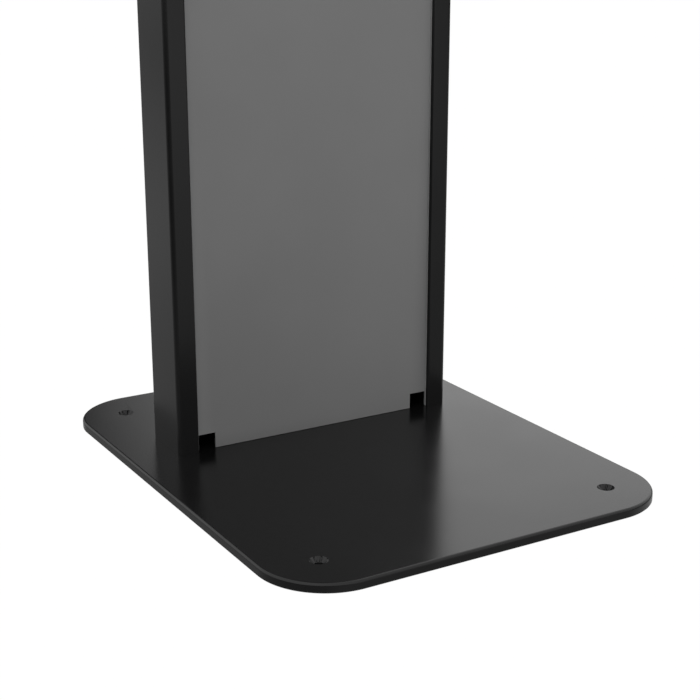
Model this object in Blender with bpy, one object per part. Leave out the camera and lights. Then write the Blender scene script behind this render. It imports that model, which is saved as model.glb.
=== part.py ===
"""Free-standing touchscreen kiosk: a slim column of two posts on a heavy base plate.

The origin is the centre of the base plate's underside.  +Z is up, the screen
faces -Y, the service door is at +Y, and +X is the width.  Units are metres.
"""
import math

import bmesh
import bpy
from mathutils import Matrix, Vector

MM = 0.001
GAP = 0.3 * MM

# Base plate
PLATE_WIDTH = 450 * MM
PLATE_DEPTH = 575 * MM
PLATE_THICKNESS = 10 * MM
PLATE_CORNER = 72.5 * MM
PLATE_TOP_ROUNDING = 3 * MM
PLATE_UNDER_CHAMFER = 0.8 * MM
FLOOR_HOLE_INSET = 55 * MM
FLOOR_HOLE_RADIUS = 4.5 * MM
FLOOR_SINK_RADIUS = 9 * MM
FLOOR_HOLE_SIDES = 24

# Column
KIOSK_HEIGHT = 1500 * MM
BODY_WIDTH = 347 * MM
POST_WIDTH = 24 * MM
POST_DEPTH = 70 * MM
POST_FRONT = 70 * MM
POST_CORNER = 5 * MM
POST_INNER_CORNER = 2 * MM
POST_WALL = 2.5 * MM
PANEL_RECESS = 5 * MM
CAP_THICKNESS = 3 * MM
CAP_EDGE = 1 * MM

# Front
PANEL_THICKNESS = 2 * MM
PANEL_SIDE_GAP = 0.4 * MM
PANEL_LIP_DEPTH = 2 * MM
PANEL_LIP_SHEET = 0.4 * MM
NOTCH_WIDTH = 22 * MM
NOTCH_HEIGHT = 18 * MM
PANEL_TOP = 930 * MM
GRILLE_HEIGHT = 30.4 * MM
GRILLE_JOINT = 0.6 * MM
SLOT_COUNT = 11
SLOT_PITCH = 6 * MM
SLOT_WIDTH = 2.2 * MM
SLOT_LENGTH = 16 * MM

# Rails between the posts
RAIL_DEPTH = 16 * MM
RAIL_HEIGHT = 22 * MM
RAIL_WALL = 2 * MM
BOTTOM_RAIL_Z = 72 * MM
MIDDLE_RAIL_Z = 910 * MM
TOP_RAIL_Z = 1478 * MM
TOP_RAIL_HEIGHT = 16 * MM
TOP_RAIL_Y = 84 * MM
TOP_RAIL_DEPTH = 20 * MM

# Fixings
FOOT_SCREW_SPREAD = 40 * MM
FOOT_SCREW_RADIUS = 3 * MM
FOOT_HEAD_RADIUS = 6 * MM
FOOT_SCREW_END = 30 * MM
FOOT_BLOCK_TOP = 35 * MM
SCREW_CLEARANCE = 0.3 * MM
SMALL_SCREW_RADIUS = 2 * MM
SMALL_HEAD_RADIUS = 3.9 * MM
CAP_SCREW_X = 120 * MM
CAP_SCREW_LENGTH = 18 * MM
PAN_HEAD_HEIGHT = 2.2 * MM
COVER_SCREW_LENGTH = 9 * MM
SCREW_SIDES = 12
SINK_SIDES = 16
PAN_HEAD_SHOULDER = 1.1 * MM
PAN_HEAD_FLAT_RADIUS = 2.3 * MM
FOOT_HEAD_BASE = 0.4 * MM

# Screen
GLASS_THICKNESS = 3.5 * MM
GLASS_CORNER = 3 * MM
SCREEN_MIDDLE_Z = 1229 * MM
MODULE_WIDTH = 292.2 * MM
MODULE_HEIGHT = 495.6 * MM
ACTIVE_WIDTH = 268 * MM
ACTIVE_HEIGHT = 476.6 * MM
GASKET_THICKNESS = 1.7 * MM
GASKET_OVERLAP = 1 * MM
LCD_THICKNESS = 3 * MM
BACKLIGHT_DEPTH = 9 * MM
BACKLIGHT_STEP = 3 * MM
CHANNEL_SHEET = 1.5 * MM
CHANNEL_FLANGE = 20 * MM
CHANNEL_LOW_Z = 966 * MM
CHANNEL_HIGH_Z = 1474 * MM
BOARD_THICKNESS = 1.6 * MM
STANDOFF_LENGTH = 4 * MM
STANDOFF_RADIUS = 3 * MM
CONNECTOR_DEPTH = 5.4 * MM
CONNECTOR_SIZE = 14 * MM
CONNECTOR_OVERHANG = 2 * MM
STANDOFF_INSET = 6 * MM
STANDOFF_SIDES = 8
DRIVER_BOARD_LOW_Z = 1180 * MM
DRIVER_BOARD_SIZE = (100 * MM, 80 * MM)
TOUCH_BOARD_LOW_Z = 1080 * MM
TOUCH_BOARD_SIZE = (60 * MM, 30 * MM)
TOUCH_BOARD_X = 85 * MM

# Sound
SPEAKER_X = 90 * MM
SPEAKER_WIDTH = 76 * MM
SPEAKER_HEIGHT = 26 * MM
SPEAKER_DEPTH = 20 * MM
SPEAKER_LOW_Z = 933 * MM
SPEAKER_CORNER = 4 * MM
SPEAKER_SIDES = 16
CONE_RADIUS = 12 * MM
CONE_INNER_RADIUS = 5 * MM
CONE_DEPTH = 7 * MM
MAGNET_RADIUS = 11 * MM
MAGNET_DEPTH = 6 * MM

# Equipment bay
BAY_PLATE_Y = 84 * MM
BAY_PLATE_SHEET = 1.5 * MM
BAY_PLATE_FLANGE = 16 * MM
BAY_PLATE_LOW_Z = 120 * MM
BAY_PLATE_HIGH_Z = 890 * MM
SUPPLY_X = (-120 * MM, -30 * MM)
SUPPLY_Z = (180 * MM, 330 * MM)
SUPPLY_DEPTH = 31 * MM
TERMINAL_HEIGHT = 12 * MM
TERMINAL_DEPTH = 14 * MM
TERMINAL_INSET = 5 * MM
PLAYER_WIDTH = 120 * MM
PLAYER_DEPTH = 37 * MM
PLAYER_CORNER = 12 * MM
PLAYER_EDGE = 2 * MM
PLAYER_Z = (480 * MM, 600 * MM)

# Back covers
COVER_SHEET = 1.5 * MM
COVER_LOW_Z = 931 * MM
COVER_FLANGE = 12 * MM
COVER_SCREW_X = 140 * MM
COVER_SCREW_Z = (1000 * MM, 1460 * MM)
VENT_WIDTH = 50 * MM
VENT_HEIGHT = 3 * MM
VENT_PITCH = 8 * MM
VENT_COUNT = 6
VENT_END_STEPS = 3
COVER_HOLE_DEPTH = 5 * MM

# Fans
FAN_X = 70 * MM
FAN_Z = 1430 * MM
FAN_SIZE = 60 * MM
FAN_THICKNESS = 15 * MM
FAN_CORNER = 4 * MM
FAN_BORE_RADIUS = 27.5 * MM
FAN_MOTOR_RADIUS = 12 * MM
FAN_MOTOR_THICKNESS = 2 * MM
FAN_SPOKE_WIDTH = 3 * MM
FAN_HUB_RADIUS = 13 * MM
FAN_HUB_DEPTH = 11 * MM
FAN_BLADE_COUNT = 7
FAN_BLADE_RADIUS = 26.3 * MM
FAN_BLADE_THICKNESS = 1.2 * MM
FAN_BLADE_CHORD = 13 * MM
FAN_BLADE_PITCH = math.radians(38)
FAN_BORE_SIDES = 24
FAN_MOTOR_SIDES = 16
FAN_HUB_SIDES = 21

# Service door
DOOR_Z = (102 * MM, 929.5 * MM)
DOOR_SIDE_GAP = 2 * MM
DOOR_SHEET = 1.5 * MM
DOOR_FLANGE = 12 * MM
DOOR_VENT_WIDTH = 150 * MM
DOOR_VENT_ROWS = (150 * MM, 840 * MM)

# Hinges
HINGE_Z = {"lower": 200 * MM, "upper": 830 * MM}
HINGE_HEIGHT = 40 * MM
HINGE_RADIUS = 3 * MM
HINGE_BORE_RADIUS = 1.9 * MM
HINGE_PIN_RADIUS = 1.5 * MM
HINGE_PIN_HEAD = 1.6 * MM
HINGE_PIN_HEAD_RADIUS = 2.6 * MM
HINGE_PIN_HEAD_THICKNESS = 1.1 * MM
HINGE_LEAF = 1.2 * MM
DOOR_LEAF = 1 * MM
DOOR_LEAF_WIDTH = 22 * MM
FRAME_LEAF_DEPTH = 23 * MM
KNUCKLE_HEIGHT = 12 * MM
KNUCKLE_RELIEF = 0.4 * MM
HINGE_SIDES = 16
PIN_SIDES = 12

# Key lock
LOCK_X = -131 * MM
LOCK_Z = 516 * MM
LOCK_FLANGE_RADIUS = 11 * MM
LOCK_FLANGE_THICKNESS = 2 * MM
LOCK_BODY_RADIUS = 8 * MM
LOCK_BODY_END_Y = 117 * MM
LOCK_BORE_RADIUS = 5.3 * MM
LOCK_BARREL_RADIUS = 5 * MM
LOCK_BARREL_END_Y = 115 * MM
LOCK_STUB_RADIUS = 3 * MM
LOCK_STUB_LENGTH = 3 * MM
LOCK_NUT_RADIUS = 12.5 * MM
LOCK_NUT_THICKNESS = 4 * MM
KEYWAY_WIDTH = 1.4 * MM
KEYWAY_LENGTH = 7 * MM
KEYWAY_DEPTH = 4 * MM
CAM_RADIUS = 7 * MM
CAM_REACH = 16 * MM
CAM_THICKNESS = 2 * MM
KEEPER_HEIGHT = 32 * MM
KEEPER_Y = (100.3 * MM, 117.5 * MM)
KEEPER_SHEET = 1.5 * MM
KEEPER_TONGUE = 8 * MM
KEEPER_TONGUE_THICKNESS = 2 * MM
LOCK_SIDES = 24
LOCK_EDGE = 0.8 * MM
CAM_SIDES = 16

# Connector panel
CONNECTOR_PANEL_TOP = 100.4 * MM
CONNECTOR_Z = 48 * MM
INLET_X = -70 * MM
INLET_FLANGE = (31 * MM, 25 * MM)
INLET_BODY = (27.4 * MM, 20.4 * MM)
INLET_CAVITY = (24.4 * MM, 16.8 * MM)
INLET_CAVITY_CHAMFER = 4 * MM
INLET_CAVITY_DEPTH = 17 * MM
INLET_REAR_Y = 118 * MM
INLET_PIN = (2 * MM, 4 * MM)
INLET_PIN_LENGTH = 12 * MM
INLET_PIN_SPREAD = 7 * MM
INLET_PIN_DROP = 1.8 * MM
SNAP_FLANGE = 2 * MM
SNAP_CORNER = 2 * MM
SWITCH_X = -30 * MM
SWITCH_FLANGE = (18 * MM, 25 * MM)
SWITCH_BODY = (14 * MM, 21 * MM)
SWITCH_CAVITY = (10.2 * MM, 17.4 * MM)
SWITCH_REAR_Y = 118 * MM
SWITCH_CAVITY_FLOOR_Y = 126.5 * MM
ROCKER_PIVOT_Y = 131.5 * MM
ROCKER_WIDTH = 9.4 * MM
ROCKER_HALF_LENGTH = 7.6 * MM
ROCKER_FACE = 4.6 * MM
ROCKER_DIP = 0.4 * MM
ROCKER_FOOT = 2 * MM
ROCKER_FOOT_HALF_LENGTH = 5 * MM
ROCKER_REST_TILT = math.radians(-8)
ROCKER_AXLE_RADIUS = 1 * MM
ROCKER_AXLE_LENGTH = 12 * MM
ROCKER_HOLE_RADIUS = 1.12 * MM
SOCKET_X = 30 * MM
SOCKET_FLANGE = (19 * MM, 19 * MM)
SOCKET_BODY = (15 * MM, 16 * MM)
SOCKET_CAVITY = (11.8 * MM, 8.4 * MM)
SOCKET_CAVITY_DEPTH = 13 * MM
SOCKET_REAR_Y = 116 * MM
CUTOUT_CLEARANCE = 0.3 * MM

# Corner steps: how many straight steps stand for a quarter circle
FINE_CORNER = 6
COARSE_CORNER = 2
SMALL_CORNER = 3

# Leads inside the body
MAINS_LEAD_RADIUS = 2.2 * MM
VIDEO_LEAD_RADIUS = 3 * MM
DISPLAY_POWER_LEAD_RADIUS = 2 * MM
NETWORK_LEAD_RADIUS = 2.5 * MM
LEAD_POINT_SPACING = 3
VIDEO_PORT_X = 28 * MM
DISPLAY_POWER_PORT_X = -30 * MM
NETWORK_PORT_X = 30 * MM
PORT_Y = 99 * MM

# Places that follow from the sizes above
HALF_BODY = BODY_WIDTH / 2
HALF_INSIDE = HALF_BODY - POST_WIDTH
POST_BACK = POST_FRONT + POST_DEPTH
FRONT_PLANE = POST_FRONT + PANEL_RECESS
BACK_PLANE = POST_BACK - PANEL_RECESS
COLUMN_MIDDLE_Y = (POST_FRONT + POST_BACK) / 2
CAP_UNDERSIDE = KIOSK_HEIGHT - CAP_THICKNESS
POST_BASE = PLATE_THICKNESS + GAP
POST_TOP = CAP_UNDERSIDE - GAP
FIT_X = HALF_INSIDE - GAP
GLASS_LOW_Z = PANEL_TOP + GRILLE_HEIGHT + 2 * GRILLE_JOINT
GLASS_HIGH_Z = CAP_UNDERSIDE - GRILLE_JOINT
LCD_FRONT_Y = FRONT_PLANE + GLASS_THICKNESS + GASKET_THICKNESS + 2 * GAP
BACKLIGHT_FRONT_Y = LCD_FRONT_Y + LCD_THICKNESS + GAP
BACKLIGHT_BACK_Y = BACKLIGHT_FRONT_Y + BACKLIGHT_DEPTH
BACK_SHEET_INNER = BACK_PLANE - COVER_SHEET
BAY_FACE_Y = BAY_PLATE_Y + BAY_PLATE_SHEET + GAP
HINGE_AXIS_X = FIT_X - HINGE_RADIUS
HINGE_AXIS_Y = BACK_PLANE - DOOR_SHEET


# Finishes: base colour, roughness, metallic
FINISHES = {
    "black_paint": ((0.018, 0.018, 0.019), 0.32, 0.0),
    "grey_paint": ((0.15, 0.15, 0.15), 0.55, 0.0),
    "black_plastic": ((0.02, 0.02, 0.02), 0.5, 0.0),
    "zinc_steel": ((0.55, 0.56, 0.57), 0.4, 1.0),
    "screw_steel": ((0.08, 0.08, 0.085), 0.35, 1.0),
    "aluminium_case": ((0.5, 0.51, 0.52), 0.4, 1.0),
    "chrome_lock": ((0.75, 0.75, 0.76), 0.15, 1.0),
    "backlight_case": ((0.45, 0.46, 0.47), 0.5, 0.0),
    "cover_glass": ((0.01, 0.01, 0.012), 0.04, 0.0),
    "screen_cell": ((0.012, 0.012, 0.014), 0.25, 0.0),
    "foam": ((0.03, 0.03, 0.03), 0.9, 0.0),
    "circuit_board": ((0.02, 0.12, 0.05), 0.45, 0.0),
    "cable_jacket": ((0.03, 0.03, 0.03), 0.55, 0.0),
}


def clear_scene():
    for old in list(bpy.data.objects):
        bpy.data.objects.remove(old, do_unlink=True)


def finish(name):
    found = bpy.data.materials.get(name)
    if found:
        return found
    colour, roughness, metallic = FINISHES[name]
    made = bpy.data.materials.new(name)
    made.use_nodes = True
    shader = made.node_tree.nodes["Principled BSDF"]
    shader.inputs["Base Color"].default_value = (*colour, 1.0)
    shader.inputs["Roughness"].default_value = roughness
    shader.inputs["Metallic"].default_value = metallic
    made.diffuse_color = (*colour, 1.0)
    return made


# Outlines, as lists of points in the plane across the axis they are extruded along

def rectangle(u_range, v_range):
    (u_low, u_high), (v_low, v_high) = u_range, v_range
    return [(u_low, v_low), (u_high, v_low), (u_high, v_high), (u_low, v_high)]


def circle(centre, radius, sides):
    angles = [2 * math.pi * step / sides for step in range(sides)]
    return [(centre[0] + radius * math.cos(a), centre[1] + radius * math.sin(a)) for a in angles]


def rounded_rectangle(centre, width, height, radius, steps, low_u_radius=None):
    """Each corner is a quarter arc of the given number of straight steps.

    The two corners on the low side of u take low_u_radius, where it is given.
    """
    points = []
    corners = [(1, 1), (-1, 1), (-1, -1), (1, -1)]
    for quarter, (side_u, side_v) in enumerate(corners):
        arc = low_u_radius if low_u_radius and side_u < 0 else radius
        arc_u = centre[0] + side_u * (width / 2 - arc)
        arc_v = centre[1] + side_v * (height / 2 - arc)
        for step in range(steps + 1):
            angle = (quarter + step / steps) * math.pi / 2
            points.append((arc_u + arc * math.cos(angle), arc_v + arc * math.sin(angle)))
    return points


def stadium(start, end, radius, steps):
    """Slot outline: two half circles of one radius, joined by straight sides."""
    along = math.atan2(end[1] - start[1], end[0] - start[0])
    points = []
    for centre, first in ((end, along - math.pi / 2), (start, along + math.pi / 2)):
        for step in range(steps + 1):
            angle = first + math.pi * step / steps
            points.append((centre[0] + radius * math.cos(angle), centre[1] + radius * math.sin(angle)))
    return points


# Shapes: an axis and a list of (outline, place along the axis), all with equally many points

def prism(outline, axis, low, high):
    return axis, [(outline, low), (outline, high)]


def block(x_range, y_range, z_range):
    return prism(rectangle(x_range, y_range), "Z", *z_range)


def turned(profile, axis, centre, sides):
    """Solid of revolution through (radius, place) pairs, with flat ends."""
    return axis, [(circle(centre, radius, sides), place) for radius, place in profile]


def add_shape(bm, shape, matrix=None):
    axis, sections = shape
    rings = []
    for outline, place in sections:
        if axis == "X":
            corners = [(place, u, v) for u, v in outline]
        elif axis == "Y":
            corners = [(u, place, v) for u, v in outline]
        else:
            corners = [(u, v, place) for u, v in outline]
        rings.append([bm.verts.new(corner) for corner in corners])
    bm.faces.new(rings[0])
    bm.faces.new(rings[-1])
    count = len(rings[0])
    for lower, upper in zip(rings, rings[1:]):
        for k in range(count):
            following = (k + 1) % count
            bm.faces.new((lower[k], lower[following], upper[following], upper[k]))
    if matrix:
        bmesh.ops.transform(bm, matrix=matrix, verts=[v for ring in rings for v in ring])


def mesh_of(name, shapes, matrix=None):
    bm = bmesh.new()
    for shape in shapes:
        add_shape(bm, shape, matrix)
    bmesh.ops.recalc_face_normals(bm, faces=bm.faces)
    mesh = bpy.data.meshes.new(name)
    bm.to_mesh(mesh)
    bm.free()
    return mesh


def combine(target, shapes, operation, matrix=None):
    """Union or difference of the target with the shapes, which don't touch each other."""
    tool = bpy.data.objects.new("tool", mesh_of("tool", shapes, matrix))
    bpy.context.collection.objects.link(tool)
    boolean = target.modifiers.new("combine", "BOOLEAN")
    boolean.operation = operation
    boolean.solver = "EXACT"
    boolean.object = tool
    graph = bpy.context.evaluated_depsgraph_get()
    result = bpy.data.meshes.new_from_object(target.evaluated_get(graph))
    target.modifiers.clear()
    target.data = result
    bpy.data.objects.remove(tool, do_unlink=True)


def piece(name, look, body, joined=(), cuts=(), pivot=None, parent=None):
    """One solid: the body, with each joined shape united to it and the cuts taken away.

    The pivot is a point on the piece's joint axis, and becomes the object's origin.
    """
    obj = bpy.data.objects.new(name, mesh_of(name, [body]))
    bpy.context.collection.objects.link(obj)
    for shape in joined:
        combine(obj, [shape], "UNION")
    if cuts:
        combine(obj, list(cuts), "DIFFERENCE")
    obj.data.name = name
    obj.data.materials.clear()
    obj.data.materials.append(finish(look))
    obj.data.shade_smooth()
    obj.data.set_sharp_from_angle(angle=math.radians(35))
    if pivot:
        obj.data.transform(Matrix.Translation(-Vector(pivot)))
        obj.location = pivot
    if parent:
        attach(obj, parent)
    return obj


def attach(child, parent):
    """Parents the child without moving it; no parent here is turned or scaled."""
    child.parent = parent
    child.location = child.location - parent.location


def pair(value):
    return (-value, value)


def sink_hole(x, y):
    """Countersunk floor-fixing hole, drilled right through the base plate."""
    depth = FLOOR_SINK_RADIUS - FLOOR_HOLE_RADIUS
    profile = [
        (FLOOR_HOLE_RADIUS, -MM),
        (FLOOR_HOLE_RADIUS, PLATE_THICKNESS - depth),
        (FLOOR_SINK_RADIUS + MM, PLATE_THICKNESS + MM),
    ]
    return turned(profile, "Z", (x, y), FLOOR_HOLE_SIDES)


def foot_screw_places():
    middle_x = HALF_BODY - POST_WIDTH / 2
    for side_name, side in (("left", -1), ("right", 1)):
        for end_name, end in (("front", -1), ("back", 1)):
            y = COLUMN_MIDDLE_Y + end * FOOT_SCREW_SPREAD / 2
            yield side_name, end_name, side * middle_x, y


def foot_screw_hole(x, y):
    """Hole for a countersunk screw that comes up from the underside."""
    shank = FOOT_SCREW_RADIUS + SCREW_CLEARANCE
    mouth = FOOT_HEAD_RADIUS + GAP + 2 * SCREW_CLEARANCE
    profile = [(mouth + MM, -MM), (shank, mouth - shank), (shank, PLATE_THICKNESS + MM)]
    return turned(profile, "Z", (x, y), SCREW_SIDES)


def base():
    sections = []
    rounding_steps = 4
    corner_steps = 12

    def plate_outline(inset):
        width = PLATE_WIDTH - 2 * inset
        depth = PLATE_DEPTH - 2 * inset
        return rounded_rectangle((0, 0), width, depth, PLATE_CORNER - inset, corner_steps)

    sections.append((plate_outline(PLATE_UNDER_CHAMFER), 0))
    sections.append((plate_outline(0), PLATE_UNDER_CHAMFER))
    for step in range(rounding_steps + 1):
        angle = math.pi / 2 * step / rounding_steps
        inset = PLATE_TOP_ROUNDING * (1 - math.cos(angle))
        drop = PLATE_TOP_ROUNDING * (1 - math.sin(angle))
        sections.append((plate_outline(inset), PLATE_THICKNESS - drop))
    hole_x = PLATE_WIDTH / 2 - FLOOR_HOLE_INSET
    hole_y = PLATE_DEPTH / 2 - FLOOR_HOLE_INSET
    holes = [sink_hole(x, y) for x in pair(hole_x) for y in pair(hole_y)]
    holes += [foot_screw_hole(x, y) for _, _, x, y in foot_screw_places()]
    piece("base_plate", "black_paint", ("Z", sections), cuts=holes)

    shank = FOOT_SCREW_RADIUS + SCREW_CLEARANCE
    block_width = POST_WIDTH - 2 * (POST_WALL + GAP)
    block_depth = POST_DEPTH - 2 * (POST_WALL + GAP)
    for side_name, side in (("left", -1), ("right", 1)):
        middle_x = side * (HALF_BODY - POST_WIDTH / 2)
        centre = (middle_x, COLUMN_MIDDLE_Y)
        outline = rounded_rectangle(centre, block_width, block_depth, POST_WALL, COARSE_CORNER)
        bores = []
        for screw_side, _, x, y in foot_screw_places():
            if screw_side == side_name:
                bore_outline = circle((x, y), shank, SCREW_SIDES)
                bores.append(prism(bore_outline, "Z", 0, FOOT_BLOCK_TOP + MM))
        body = prism(outline, "Z", POST_BASE, FOOT_BLOCK_TOP)
        piece(side_name + "_foot_block", "zinc_steel", body, cuts=bores)

    head_drop = FOOT_HEAD_RADIUS - FOOT_SCREW_RADIUS
    for side_name, end_name, x, y in foot_screw_places():
        profile = [
            (FOOT_HEAD_RADIUS, FOOT_HEAD_BASE),
            (FOOT_SCREW_RADIUS, FOOT_HEAD_BASE + head_drop),
            (FOOT_SCREW_RADIUS, FOOT_SCREW_END),
        ]
        name = f"{side_name}_{end_name}_foot_screw"
        piece(name, "screw_steel", turned(profile, "Z", (x, y), SCREW_SIDES))


def rail(name, low_z, height, front_y, depth, cuts=()):
    outer = rectangle((front_y, front_y + depth), (low_z, low_z + height))
    bore = rectangle(
        (front_y + RAIL_WALL, front_y + depth - RAIL_WALL),
        (low_z + RAIL_WALL, low_z + height - RAIL_WALL),
    )
    body = prism(outer, "X", -FIT_X, FIT_X)
    hollow = prism(bore, "X", -FIT_X - MM, FIT_X + MM)
    made = piece(name, "black_paint", body, cuts=[hollow])
    if cuts:
        combine(made, list(cuts), "DIFFERENCE")


def frame():
    for side_name, side in (("left", -1), ("right", 1)):
        centre = (side * (HALF_BODY - POST_WIDTH / 2), COLUMN_MIDDLE_Y)
        radii = {-1: (POST_INNER_CORNER, POST_CORNER), 1: (POST_CORNER, POST_INNER_CORNER)}
        high_radius, low_radius = radii[side]
        outer = rounded_rectangle(centre, POST_WIDTH, POST_DEPTH, high_radius, FINE_CORNER, low_radius)
        inner_width = POST_WIDTH - 2 * POST_WALL
        inner_depth = POST_DEPTH - 2 * POST_WALL
        bore = rounded_rectangle(centre, inner_width, inner_depth, POST_CORNER - POST_WALL, COARSE_CORNER)
        body = prism(outer, "Z", POST_BASE, POST_TOP)
        piece(side_name + "_post", "black_paint", body, cuts=[prism(bore, "Z", 0, KIOSK_HEIGHT)])

    rail_front = FRONT_PLANE + PANEL_THICKNESS + GAP
    rail("bottom_rail", BOTTOM_RAIL_Z, RAIL_HEIGHT, rail_front, RAIL_DEPTH)
    rail("middle_rail", MIDDLE_RAIL_Z, RAIL_HEIGHT, rail_front, RAIL_DEPTH)

    screw_y = TOP_RAIL_Y + TOP_RAIL_DEPTH / 2
    clear_radius = SMALL_SCREW_RADIUS + SCREW_CLEARANCE
    hole_z = (TOP_RAIL_Z + TOP_RAIL_HEIGHT / 2, KIOSK_HEIGHT)
    top_holes = [
        prism(circle((x, screw_y), clear_radius, SCREW_SIDES), "Z", *hole_z)
        for x in pair(CAP_SCREW_X)
    ]
    rail("top_rail", TOP_RAIL_Z, TOP_RAIL_HEIGHT, TOP_RAIL_Y, TOP_RAIL_DEPTH, top_holes)

    centre = (0, COLUMN_MIDDLE_Y)

    def cap_outline(inset):
        width = BODY_WIDTH - 2 * inset
        depth = POST_DEPTH - 2 * inset
        return rounded_rectangle(centre, width, depth, POST_CORNER - inset, FINE_CORNER)

    edge_steps = 2
    sections = [(cap_outline(0), CAP_UNDERSIDE)]
    for step in range(edge_steps + 1):
        angle = math.pi / 2 * step / edge_steps
        inset = CAP_EDGE * (1 - math.cos(angle))
        drop = CAP_EDGE * (1 - math.sin(angle))
        sections.append((cap_outline(inset), KIOSK_HEIGHT - drop))
    mouth = SMALL_HEAD_RADIUS + GAP
    head_drop = SMALL_HEAD_RADIUS - SMALL_SCREW_RADIUS
    sinks = []
    for x in pair(CAP_SCREW_X):
        profile = [
            (clear_radius, CAP_UNDERSIDE - MM),
            (clear_radius, KIOSK_HEIGHT - GAP - head_drop),
            (mouth, KIOSK_HEIGHT - GAP),
            (mouth, KIOSK_HEIGHT + MM),
        ]
        sinks.append(turned(profile, "Z", (x, screw_y), SINK_SIDES))
    piece("top_cap", "black_paint", ("Z", sections), cuts=sinks)
    for side_name, side in (("left", -1), ("right", 1)):
        head_top = KIOSK_HEIGHT - GAP
        profile = [
            (SMALL_SCREW_RADIUS, head_top - CAP_SCREW_LENGTH),
            (SMALL_SCREW_RADIUS, head_top - head_drop),
            (SMALL_HEAD_RADIUS, head_top),
        ]
        body = turned(profile, "Z", (side * CAP_SCREW_X, screw_y), SCREW_SIDES)
        piece(side_name + "_cap_screw", "screw_steel", body)


def front():
    half_width = HALF_INSIDE - PANEL_SIDE_GAP
    low_z = POST_BASE
    sheet_y = (FRONT_PLANE, FRONT_PLANE + PANEL_THICKNESS)
    through_y = (FRONT_PLANE - MM, FRONT_PLANE + PANEL_THICKNESS + MM)
    notch_z = (0, PLATE_THICKNESS + NOTCH_HEIGHT)
    notches = [
        block((-HALF_INSIDE - MM, -HALF_INSIDE + NOTCH_WIDTH), through_y, notch_z),
        block((HALF_INSIDE - NOTCH_WIDTH, HALF_INSIDE + MM), through_y, notch_z),
    ]
    body = block(pair(half_width), sheet_y, (low_z, PANEL_TOP))
    panel = piece("lower_front_panel", "grey_paint", body, cuts=notches)
    lip_y = (FRONT_PLANE - PANEL_LIP_DEPTH, sheet_y[1])
    for side in (-1, 1):
        lip_x = sorted((side * (half_width - PANEL_LIP_SHEET), side * half_width))
        combine(panel, [block(lip_x, lip_y, (low_z, PANEL_TOP))], "UNION")

    grille_low = PANEL_TOP + GRILLE_JOINT
    grille_middle = grille_low + GRILLE_HEIGHT / 2
    slots = []
    reach = (SLOT_LENGTH - SLOT_WIDTH) / 2
    for centre_x in pair(SPEAKER_X):
        for index in range(SLOT_COUNT):
            x = centre_x + (index - (SLOT_COUNT - 1) / 2) * SLOT_PITCH
            ends = ((x, grille_middle - reach), (x, grille_middle + reach))
            slots.append(prism(stadium(*ends, SLOT_WIDTH / 2, VENT_END_STEPS), "Y", *through_y))
    body = block(pair(half_width), sheet_y, (grille_low, grille_low + GRILLE_HEIGHT))
    piece("speaker_grille", "black_paint", body, cuts=slots)

    cone_front = FRONT_PLANE + PANEL_THICKNESS + GAP
    speaker_y = (cone_front, cone_front + SPEAKER_DEPTH)
    cone_z = SPEAKER_LOW_Z + SPEAKER_HEIGHT / 2
    for side_name, side in (("left", -1), ("right", 1)):
        centre_x = side * SPEAKER_X
        centre = (centre_x, cone_z)
        outline = rounded_rectangle(centre, SPEAKER_WIDTH, SPEAKER_HEIGHT, SPEAKER_CORNER, COARSE_CORNER)
        profile = [(MAGNET_RADIUS, speaker_y[1] - MM), (MAGNET_RADIUS, speaker_y[1] + MAGNET_DEPTH)]
        magnet = turned(profile, "Y", centre, SPEAKER_SIDES)
        profile = [(CONE_RADIUS, cone_front - MM), (CONE_INNER_RADIUS, cone_front + CONE_DEPTH)]
        cone = turned(profile, "Y", centre, SPEAKER_SIDES)
        piece(side_name + "_speaker", "black_plastic", prism(outline, "Y", *speaker_y), [magnet], [cone])


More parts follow.
